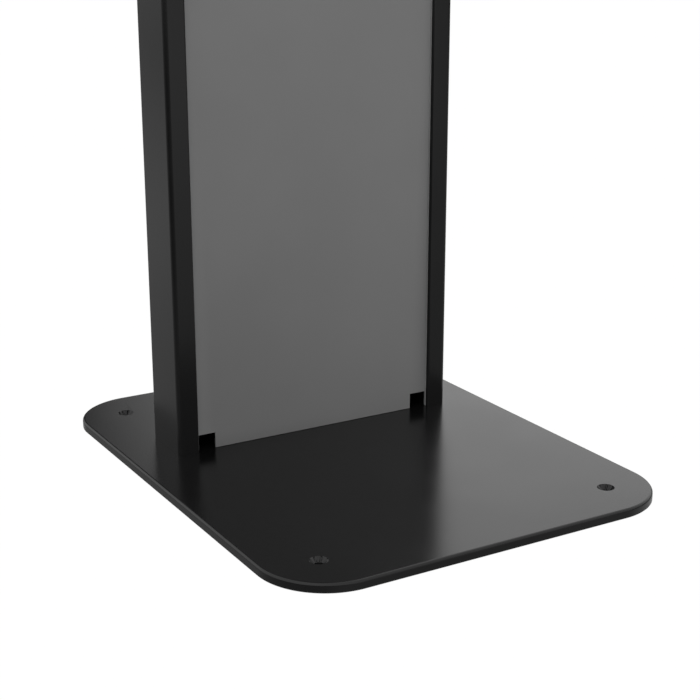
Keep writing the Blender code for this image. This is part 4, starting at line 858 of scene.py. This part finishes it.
def power_supply():
    """Folded and perforated case with a screw terminal block along its lower end."""
    low, high, centre, size = box("power_supply", raised=TERMINAL_HEIGHT)
    vents = []
    for row, z in enumerate(spread(centre[1], CASE_HOLE_PITCH * 0.86, CASE_ROWS)):
        for x in spread(centre[0], CASE_HOLE_PITCH, CASE_COLUMNS - row % 2):
            vents.append(turned([(1.6, high.y), (1.5, high.y - 2)], (x, z), 10))
    bm = shelled("Y", soft(rounded(centre, size, 1, 4), low.y, high.y, 0.6, 3), pockets=vents)
    for place in corners(centre, size, 6, 5):
        flat_head(bm, place, high.y - 0.05, 0.9, 2)
    piece("power_supply", bm, "aluminium_case")

    plastic = bmesh.new()
    metal = bmesh.new()
    start, end = low.x + TERMINAL_INSET, high.x - TERMINAL_INSET
    bottom = low.z - TERMINAL_HEIGHT
    wall_front = low.y + TERMINAL_DEPTH
    strip_front = wall_front - 4.2
    brick(plastic, "Y", (start, end), (low.y, wall_front - 5), (bottom, low.z + 0.5), 0.4)
    step = (end - start) / TERMINAL_POLES
    for wall in range(TERMINAL_POLES + 1):
        x = min(max(start + wall * step, start + 0.6), end - 0.6)
        brick(plastic, "Y", about(x, 0.6), (wall_front - 5.2, wall_front), (bottom, low.z + 0.2), 0.25)
    for pole in range(TERMINAL_POLES):
        x, z = start + (pole + 0.5) * step, bottom + TERMINAL_HEIGHT / 2
        brick(metal, "Y", about(x, 3.6), (wall_front - 5, strip_front), about(z, 4), 0.2)
        flat_head(metal, (x, z), strip_front, 1.8, 2.9)
    piece("power_supply_terminals", plastic, "black_plastic")
    piece("power_supply_screws", metal, "zinc_steel")


def media_player():
    """Small fanless computer: finned back, rounded corners, ports on its lower and upper sides."""
    low, high, centre, size = box("media_player")
    bottom, top = about(centre[1], size[1] / 2 - 16)
    grooves = []
    for x in spread(centre[0], PLAYER_GROOVE_PITCH, PLAYER_GROOVES):
        grooves.append(pocket(stadium((x, bottom), (x, top), 1.3, 6), high.y, high.y - 3, 0.25))
    sections = lidded(rounded(centre, size, PLAYER_CORNER, 16), low.y, high.y, 0.5, 2)
    bm = shelled("Y", sections, pockets=grooves)
    for place in corners(centre, size, 9):
        flat_head(bm, place, high.y - 0.05, 0.7, 2)
    piece("media_player", bm, "black_plastic")

    ports = bmesh.new()
    for x in PLAYER_PORTS:
        for z, outward in ((low.z, -1), (high.z, 1)):
            place = (x, low.y + 13)
            rim = rounded(place, (13.4, 6.4), 0.8, 4)
            face = z + outward * 0.25
            sections = [(rim, z - outward), (rim, face - outward * 0.1), (inset(rim, 0.1), face)]
            mouth = pocket(rounded(place, (11, 4), 0.4, 3), face, face - outward, 0.1)
            shell(ports, "Z", sections, pockets=[mouth])
    piece("media_player_ports", ports, "black_plastic")


# ---- back

def vent_holes(centre, width, outer, inner):
    """Level slots in rows through the back sheet, from its outer face to its inner one."""
    radius = VENT_HEIGHT / 2
    left, right = about(centre[0], width / 2 - radius)
    return [slot_hole((left, z), (right, z), radius, inner, outer, 10)[::-1]
            for z in spread(centre[1], VENT_PITCH, VENT_COUNT)]


def rear_head_cover():
    low, high, centre, size = box("rear_head_cover")
    holes = []
    for fan in FANS:
        holes += vent_holes(centre_of(fan + "_frame"), HEAD_VENT_WIDTH, high.y, low.y)
    for name in COVER_SCREWS:
        holes.append(round_hole(centre_of(name), 2.3, 24, low.y, high.y, edge=0.1)[::-1])
    sections = soft(rounded(centre, size, 0.6, 3), low.y, high.y, edge=0.25)
    piece("rear_head_cover", shelled("Y", sections[::-1], holes), "black_paint")


def cover_screws():
    for name in COVER_SCREWS:
        low, high, centre, size = box(name)
        base = high.y - COVER_HEAD_HEIGHT
        bm = bmesh.new()
        flat_head(bm, centre, base, COVER_HEAD_HEIGHT, size[0] / 2)
        shell(bm, "Y", thread(centre, COVER_SHANK_RADIUS, low.y, base + 0.2, 0.7))
        piece(name, bm, "screw_steel")


def rear_door():
    """Folded tray with two rows of slots, a lock hole and a notch round each hinge."""
    low, high, centre, size = box("rear_door")
    outer = rounded(centre, size, 1.5, 5)
    inner = rounded(centre, [side - 2 * DOOR_SHEET for side in size], 0.8, 5)
    floor = high.y - DOOR_SHEET
    edge = 0.3
    sections = [(inset(outer, shift), high.y - drop) for shift, drop in quarter_round(0.8, 4)[::-1]]
    sections += [(outer, low.y + edge), (inset(outer, edge), low.y), (inset(inner, -edge), low.y),
                 (inner, low.y + edge), (inner, floor - 0.5), (inset(inner, 0.5), floor)]
    holes = []
    for z in DOOR_VENT_ROWS:
        holes += vent_holes((0, z), DOOR_VENT_WIDTH, high.y, floor)
    lock_hole = LOCK_BODY_RADIUS + 0.3
    holes.append(turned([(lock_hole, high.y), (lock_hole, floor)], centre_of("lock_housing"), 48))
    notches = bmesh.new()
    relief = HINGE_RADIUS + 0.4
    for hinge in HINGES:
        pin_low, pin_high, (x, y), _ = box(hinge + "pin", "Z")
        left, right, bottom, top = x - relief, high.x + 2, pin_low.z - 2, pin_high.z + 1
        outline = [(left, bottom), (right, bottom), (right, top), (left, top)]
        shell(notches, "Y", [(outline, y - relief), (outline, high.y + 2)])
    piece("rear_door", carved(shelled("Y", sections, holes), notches), "black_paint", "door")


def knuckle(bm, axis, low, high):
    bore = round_hole(axis, HINGE_BORE, 40, low, high, edge=0.15)
    shell(bm, "Z", soft(circle(axis, HINGE_RADIUS, 40), low, high, edge=0.15), [bore])


def hinges():
    for hinge in HINGES:
        pin_low, pin_high, axis, (head_width, _) = box(hinge + "pin", "Z")
        low, high, *_ = box(hinge + "frame_leaf")
        bm = bmesh.new()
        knuckle(bm, axis, low.z, low.z + HINGE_KNUCKLE)
        knuckle(bm, axis, high.z - HINGE_KNUCKLE, high.z)
        brick(bm, "X", (high.x - 1.2, high.x), (low.y, axis[1] - HINGE_RADIUS * 0.7), (low.z, high.z), 0.25)
        for z in (low.z + 8, high.z - 8):
            flat_head(bm, (low.y + 8, z), high.x - 1.15, -0.7, 2.6, "X")
        piece(hinge + "frame_leaf", bm, "zinc_steel")

        middle = (low.z + HINGE_KNUCKLE + 0.3, high.z - HINGE_KNUCKLE - 0.3)
        low, high, *_ = box(hinge + "door_leaf")
        sheet = (high.y - LEAF_SHEET - LEAF_CLEARANCE, high.y - LEAF_CLEARANCE)
        leaf_end = axis[0] - HINGE_RADIUS - 0.5
        bm = bmesh.new()
        knuckle(bm, axis, *middle)
        brick(bm, "Y", (low.x, leaf_end), sheet, (low.z, high.z), 0.25)
        brick(bm, "Y", (leaf_end - 0.5, axis[0] + 0.5), sheet, middle, 0.2)
        for z in (low.z + 8, high.z - 8):
            flat_head(bm, (low.x + 7, z), sheet[1] - 0.05, 0.7, 2.6)
        piece(hinge + "door_leaf", bm, "zinc_steel", "door")

        pin, head, top = HINGE_PIN_RADIUS, head_width / 2, pin_high.z
        profile = [(pin - 0.3, pin_low.z), (pin, pin_low.z + 0.3), (pin, top - 1.1), (head - 0.15, top - 1.1),
                   (head, top - 0.9), (head * 0.85, top - 0.3), (head * 0.5, top)]
        piece(hinge + "pin", shelled("Z", turned(profile, axis, 32)), "screw_steel")


def lock():
    """Threaded housing with a flange, its nut, the barrel with a keyway and the cam on its stub."""
    low, high, centre, size = box("lock_housing")
    flange = size[0] / 2
    body = LOCK_BODY_RADIUS
    collar = high.y - 2
    outer = thread(centre, body, low.y, collar - 2, 1.2, 64)
    outer += turned([(flange - 0.2, collar), (flange, collar + 0.2), (flange, high.y - 1),
                     (flange - 0.4, high.y - 0.35), (flange - 1.2, high.y)], centre)
    bore = round_hole(centre, LOCK_BORE_RADIUS, 64, low.y, high.y, edge=0.15)
    piece("lock_housing", shelled("Y", outer, [bore]), "chrome_lock", "door")

    low, high, _, size = box("lock_nut")
    bore = round_hole(centre, body + 0.3, 48, low.y, high.y, edge=0.3)
    nut = shelled("Y", soft(circle(centre, size[0] / 2, 6), low.y, high.y, edge=0.5), [bore])
    piece("lock_nut", nut, "zinc_steel", "door")

    low, high, _, size = box("lock_barrel")
    barrel = size[0] / 2
    stub = LOCK_STUB_RADIUS
    profile = [(stub - 0.3, low.y), (stub, low.y + 0.3), (stub, low.y + 3), (barrel, low.y + 3),
               (barrel, high.y - 0.3), (barrel - 0.3, high.y)]
    keyway = pocket(rounded(centre, (1.4, 7), 0.3, 3), high.y, high.y - 4, 0.15)
    piece("lock_barrel", shelled("Y", turned(profile, centre, 48), pockets=[keyway]), "chrome_lock", "lock")

    low, high, _, size = box("lock_cam")
    radius = size[0] / 2
    outline = stadium(centre, (centre[0], low.z + radius), radius, 16)
    bore = round_hole(centre, stub + 0.3, 32, low.y, high.y, edge=0.15)
    piece("lock_cam", shelled("Y", soft(outline, low.y, high.y, edge=0.25), [bore]), "zinc_steel", "lock")


# ---- connectors

def snap_in(node, flange_size, body_size, recess, floor, edge):
    """Panel part: a body that goes through the panel, a thin flange outside it, a recess in its face."""
    low, high, centre, _ = box(node)
    collar = high.y - 2
    body = rounded(centre, body_size, 1, 5)
    flange = rounded(centre, flange_size, 2, 5)
    sections = [(inset(body, 0.4), low.y), (body, low.y + 0.4), (body, collar),
                (inset(flange, 0.1), collar), (flange, collar + 0.15), (flange, high.y - 0.7),
                (inset(flange, 0.2), high.y - 0.2), (inset(flange, 0.7), high.y)]
    well = pocket(shifted(recess, centre), high.y, floor, edge)
    piece(node, shelled("Y", sections, pockets=[well]), "black_plastic")


def mains_inlet():
    """Inlet with a recess that is chamfered at its two upper corners, three pins and their tabs."""
    low, high, centre, _ = box("mains_inlet")
    half_w, half_h, chamfer = 12.2, 8.4, 4
    recess = [(-half_w, -half_h), (half_w, -half_h), (half_w, half_h - chamfer), (half_w - chamfer, half_h),
              (chamfer - half_w, half_h), (-half_w, half_h - chamfer)]
    floor = high.y - INLET_DEPTH
    snap_in("mains_inlet", (31, 25), (27.4, 20.4), recess, floor, 0.4)
    tip = floor + 12
    pins = bmesh.new()
    for place in shifted([(-7, -1.8), (7, -1.8), (0, 1.8)], centre):
        outline = rounded(place, (2, 4), 0.5, 4)
        shell(pins, "Y", [(outline, floor - 0.5), (outline, tip - 1), (inset(outline, 0.5), tip)])
        shell(pins, "Y", soft(rounded(place, (0.8, 4.6), 0.2, 2), low.y - 4, low.y + 1, edge=0.15))
    piece("mains_inlet_pins", pins, "zinc_steel")


def power_switch():
    snap_in("power_switch_housing", (18, 25), (14, 21), rounded((0, 0), (10.2, 17.4), 0.6, 4),
            SWITCH_WELL_FLOOR, 0.3)
    refined("power_switch_rocker", "black_plastic", 0.5, "power_rocker")


def network_socket():
    """Socket with a latch step below its mouth and eight sprung contacts."""
    _, high, centre, _ = box("network_socket")
    half_w, half_h = 5.9, 4.2
    latch, step = 3.1, 1.6
    recess = [(-half_w, half_h), (-half_w, -half_h + step), (-latch, -half_h + step), (-latch, -half_h),
              (latch, -half_h), (latch, -half_h + step), (half_w, -half_h + step), (half_w, half_h)]
    snap_in("network_socket", (19, 19), (15, 16), recess, high.y - SOCKET_DEPTH, 0.15)
    contacts = bmesh.new()
    spring = shifted([(-13.2, 1.2), (-13.2, 0.8), (-4, 3.6), (-4, 4.05)], (high.y, centre[1]))
    for x in spread(centre[0], CONTACT_PITCH, 8):
        shell(contacts, "X", [(spring, x - 0.18), (spring, x + 0.18)])
    piece("network_socket_contacts", contacts, "gold_contact")


# ---- fans

def fan_frame(node):
    """Square frame with a round bore, a motor seat and four leaning arms."""
    low, high, centre, size = box(node)
    holes = [round_hole(centre, FAN_BORE, 96, low.y, high.y, 0.8, 3)]
    for place in corners(centre, (FAN_HOLE_SPACING, FAN_HOLE_SPACING), 0):
        holes.append(round_hole(place, 2.2, 24, low.y, high.y, edge=0.2))
    bm = shelled("Y", soft(rounded(centre, size, 4, 8), low.y, high.y, edge=0.5), holes)
    motor = [(FAN_MOTOR, low.y + 2), (FAN_MOTOR, low.y + 0.4), (FAN_MOTOR - 0.4, low.y)]
    shell(bm, "Y", turned(motor, centre))
    for arm in range(4):
        angle = pi / 2 * arm + pi / 5
        start = polar(centre, FAN_MOTOR - 1, angle)
        end = polar(centre, FAN_BORE + 1, angle + 0.35)
        shell(bm, "Y", soft(stadium(start, end, 1.5, 6), low.y, low.y + 2, edge=0.4))
    piece(node, bm, "black_plastic")


def fan_rotor(node, centre, body):
    low, high, *_ = box(node)
    profile = [(FAN_HUB - 0.3, low.y), (FAN_HUB, low.y + 0.3)]
    profile += [(FAN_HUB - shift, high.y - drop) for shift, drop in quarter_round(1.2, 5)]
    bm = shelled("Y", turned(profile, centre))
    for blade in range(FAN_BLADES):
        fan_blade(bm, centre, (low.y + high.y) / 2, 2 * pi * blade / FAN_BLADES)
    piece(node, bm, "black_plastic", body)


def fan_blade(bm, centre, middle_y, turn):
    """Cambered blade whose pitch, sweep and chord change from hub to tip, where it narrows."""
    stations = 10
    root = FAN_HUB - 0.6
    rings = []
    for station in range(stations + 1):
        share = station / stations
        radius = root + (FAN_TIP - root) * share
        pitch = radians(BLADE_ROOT_PITCH - BLADE_TWIST * share)
        sweep = turn + 0.3 * share * share
        chord = (BLADE_ROOT_CHORD + BLADE_WIDENING * share) * (1 if station < stations else 0.88)
        ring = []
        for along, thick in BLADE_SECTION:
            across = along * chord
            camber = (0.25 - along * along) * BLADE_CAMBER * chord + thick * BLADE_HALF_THICKNESS
            tangent = across * cos(pitch) - camber * sin(pitch)
            rise = across * sin(pitch) + camber * cos(pitch)
            place = middle_y + max(-BLADE_REACH, min(BLADE_REACH, rise))
            ring.append(bm.verts.new(at("Y", *polar(centre, radius, sweep + tangent / radius), place)))
        rings.append(ring)
    walls(bm, rings, ends=(0, -1))


def fans():
    for fan in FANS:
        fan_frame(fan + "_frame")
        fan_rotor(fan + "_rotor", centre_of(fan + "_frame"), fan.replace("fan", "rotor"))


# ---- leads

def route_points(knots, spacing):
    """Points on a Catmull-Rom curve through the knots, about the given spacing apart."""
    knots = [Vector(knot) for knot in knots]
    padded = [knots[0], *knots, knots[-1]]
    points = []
    for before, start, end, after in zip(padded, padded[1:], padded[2:], padded[3:]):
        steps = max(3, round((end - start).length / spacing))
        for step in range(steps):
            t = step / steps
            pull = (2 * before - 5 * start + 4 * end - after) * t * t
            curl = (3 * start - before - 3 * end + after) * t * t * t
            points.append((2 * start + (end - before) * t + pull + curl) / 2)
    return points + [knots[-1]]


def swept(bm, points, radius):
    """Round tube along the points, its frame carried from one to the next without twist."""
    sides = 20
    normal = None
    rings = []
    for k, point in enumerate(points):
        ahead = (points[min(k + 1, len(points) - 1)] - points[max(k - 1, 0)]).normalized()
        if normal is None:
            normal = ahead.orthogonal()
        normal = (normal - ahead * normal.dot(ahead)).normalized()
        other = ahead.cross(normal)
        ring = []
        for u, v in circle((0, 0), radius, sides):
            ring.append(bm.verts.new((point + normal * u + other * v) * MM))
        rings.append(ring)
    walls(bm, rings, ends=(0, -1))


def plug(bm, end, up, radius, width, depth, length):
    """Plug that stands on the lead's end, with a ribbed boot that narrows along the lead."""
    centre = (end.x, end.y)
    tip, top = end.z + up * 0.05, end.z + up * length
    outline = rounded(centre, (width, depth), 0.9, 5)
    narrow = inset(outline, 0.5)
    shell(bm, "Z", [(narrow, tip), (outline, tip + up * 0.5), (outline, top - up * 0.5), (narrow, top)])
    boot = []
    for rib in range(5):
        size = radius + 1.5 - 0.22 * rib
        start = rib * 2 - 0.2
        boot += [(size, top + up * start), (size, top + up * (start + 1.3)),
                 (size - 0.6, top + up * (start + 1.5)), (size - 0.6, top + up * (start + 1.8))]
    shell(bm, "Z", turned(boot, centre, 24))


def lead(name, radius, knots, plugs=()):
    """One lead, and a plug at each end where (width, depth, length) is given."""
    points = route_points(knots, 2.5 * radius)
    bm = bmesh.new()
    swept(bm, points, radius)
    for (end, nearby), size in zip(((points[-1], points[-3]), (points[0], points[2])), plugs):
        plug(bm, end, copysign(1, nearby.z - end.z), radius, *size)
    piece(name, bm, "cable_jacket")


def leads():
    """The four leads.  Plugs are listed from a lead's last point, then its first."""
    inlet_low, _, (inlet_x, inlet_z), _ = box("mains_inlet")
    socket_low, _, (socket_x, socket_z), _ = box("network_socket")
    supply_low, supply_high, *_ = box("power_supply")
    player_low, player_high, *_ = box("media_player")
    board_low, board_high, *_ = box("display_driver_board")
    port_y = board_high.y - BOARD_PORT_DEPTH / 2
    lead("mains_cable", 2.2, [
        (inlet_x, inlet_low.y - GAP, inlet_z), (inlet_x, 111, 48.6), (inlet_x, 102.5, 55),
        (inlet_x, 98.4, 66), (inlet_x, 97.6, 90), (inlet_x - 1, 96, 125), (inlet_x - 2, 93.5, 152),
        (inlet_x - 2, 93, supply_low.z - GAP)])
    lead("network_cable", 2.5, [
        (socket_x, socket_low.y - GAP, socket_z), (socket_x, 109.5, 48.6), (socket_x, 101.5, 55.5),
        (socket_x, 98.6, 67), (socket_x, 98.4, 90), (34, 98.6, 160), (38, 99, 260), (35, 99.4, 370),
        (31, 99.2, 440), (30, LEAD_Y, player_low.z - GAP)], [(11.6, 7.6, 14)])
    lead("video_cable", 3, [
        (28, LEAD_Y, player_high.z + GAP), (28, LEAD_Y, 625), (32, 100, 700), (37, 101, 820),
        (37, 101.5, 930), (33, 101.8, 1050), (VIDEO_PORT_X, port_y, 1140),
        (VIDEO_PORT_X, port_y, board_low.z - GAP)], [(13, 4.6, 13), (17, 8, 15)])
    lead("display_power_cable", 2, [
        (-60, LEAD_Y, supply_high.z + GAP), (-60, LEAD_Y, 350), (-68, 101, 410), (-76, 102, 480),
        (-78, 102, 560), (-72, 102, 650), (-54, 102, 760), (-40, 102, 880), (-34, 102, 1020),
        (DISPLAY_POWER_X, port_y, 1140), (DISPLAY_POWER_X, port_y, board_low.z - GAP)],
        [(10, 4.6, 10), (8, 7, 7)])


# ---- stage, light, camera

STAGE_RADIUS = 14000

# Brightness of the studio in rings: height on a unit sphere, then (degrees from +Y toward +X, value)
UPPER_LEFT = [(-180, 0.95), (-120, 1.15), (-35, 1.0), (-12, 0.95), (0, 0.45), (7, 0.04)]
UPPER_RIGHT = [(33, 1.36), (60, 1.22), (110, 0.95), (150, 0.85), (180, 0.95)]
STUDIO = [
    (-1.0, [(-180, 0.5), (0, 0.5), (180, 0.5)]),
    (-0.42, [(-180, 0.4), (-140, 0.25), (-60, 0.24), (-23, 0.28), (20, 0.5), (110, 0.5), (146, 0.29),
             (157, 0.32), (180, 0.4)]),
    (-0.29, [(-180, 0.3), (-140, 0.24), (-100, 0.27), (-60, 0.38), (-23, 0.3), (20, 0.5), (110, 0.5),
             (146, 0.34), (157, 0.42), (180, 0.3)]),
    (-0.2, [(-180, 0.22), (-140, 0.1), (-105, 0.06), (-60, 0.38), (-23, 0.46), (20, 0.55), (110, 0.5),
            (144, 0.33), (157, 0.58), (170, 0.4), (180, 0.22)]),
    (-0.1, [(-180, 0.22), (-160, 0.07), (-140, 0.02), (-100, 0.0), (-70, 0.14), (-45, 0.26), (-23, 0.26),
            (20, 0.5), (90, 0.4), (138, 0.28), (157, 0.82), (168, 0.6), (180, 0.22)]),
    (0.02, [(-180, 0.7), (-60, 0.7), (-20, 0.5), (5, 0.02), (55, 0.05), (125, 0.05), (160, 0.6), (180, 0.7)]),
    (0.1, [(-180, 0.9), (-35, 1.0), (-12, 0.95), (0, 0.45), (7, 0.04), (135, 0.05), (165, 0.85), (180, 0.9)]),
    (0.2, UPPER_LEFT + [(18, 0.0), (23, 0.85)] + UPPER_RIGHT),
    (0.6, UPPER_LEFT + [(23, 0.0), (27, 0.85)] + UPPER_RIGHT),
]


def round_profile(tree, turn, profile):
    """Brightness round one ring, for a turn that goes from 0 to 1."""
    made = new_node(tree, "ValToRGB", Fac=turn)
    made.color_ramp.interpolation = "EASE"
    elements = made.color_ramp.elements
    places = [(degrees + 180) / 360 for degrees, _ in profile]
    elements[0].position = places[0]
    elements[1].position = places[-1]
    for place in places[1:-1]:
        elements.new(place)
    for element, (_, value) in zip(elements, profile):
        element.color = (*grey(value), 1)
    return made.outputs["Color"]


def studio():
    """Soft light from all round, blended upward from ring to ring; it has no lamps."""
    world = bpy.data.worlds.new("studio")
    bpy.context.scene.world = world
    world.use_nodes = True
    tree = world.node_tree
    split = new_node(tree, "SeparateXYZ", Vector=coordinates(tree, "Generated")).outputs
    angle = math_node(tree, "ARCTAN2", split["X"], split["Y"])
    turn = between(tree, angle, 0, 1, -pi, pi)
    shade = round_profile(tree, turn, STUDIO[0][1])
    for (low, _), (high, profile) in zip(STUDIO, STUDIO[1:]):
        share = between(tree, split["Z"], 0, 1, low, high)
        shade = mixed(tree, share, shade, round_profile(tree, turn, profile))
    feed(tree.nodes["Background"].inputs["Color"], shade)


def stage():
    """Pale floor that curves up into a backdrop all round."""
    bend = STAGE_RADIUS / 3
    profile = [(STAGE_RADIUS - 500, 0)]
    profile += [(STAGE_RADIUS + bend - inward, rise) for rise, inward in quarter_round(bend, 8)]
    profile.append((STAGE_RADIUS + bend, 2 * STAGE_RADIUS))
    bm = bmesh.new()
    rings = [[bm.verts.new(at("Z", u, v, z)) for u, v in circle((0, 0), radius, 96)] for radius, z in profile]
    walls(bm, rings, ends=(0,))
    mesh = bpy.data.meshes.new("studio_floor")
    bm.to_mesh(mesh)
    bm.free()
    mesh.shade_smooth()
    paper, *_ = new_material("studio_floor", Base_Color=(*grey(0.1), 1), Roughness=1.0,
                             Specular_IOR_Level=0.0, Emission_Color=(*grey(1), 1), Emission_Strength=1.0)
    mesh.materials.append(paper)
    floor = new_object("studio_floor", mesh)
    for rays in ("diffuse", "glossy", "transmission", "shadow"):
        setattr(floor, "visible_" + rays, False)


def camera():
    lens = bpy.data.cameras.new("camera")
    lens.lens = CAMERA_LENS
    lens.sensor_width = CAMERA_SENSOR
    holder = new_object("camera", lens)
    holder.location = CAMERA_PLACE
    holder.rotation_euler = [radians(angle) for angle in CAMERA_TURN]
    bpy.context.scene.camera = holder
    bpy.context.scene.view_settings.view_transform = "Standard"


looks()
base_plate()
foot_screws()
posts()
top_cap()
plain_copies()
speaker_grille()
speakers()
touch_glass()
circuit_boards()
power_supply()
media_player()
rear_head_cover()
cover_screws()
rear_door()
hinges()
lock()
mains_inlet()
power_switch()
network_socket()
fans()
leads()
studio()
stage()
camera()
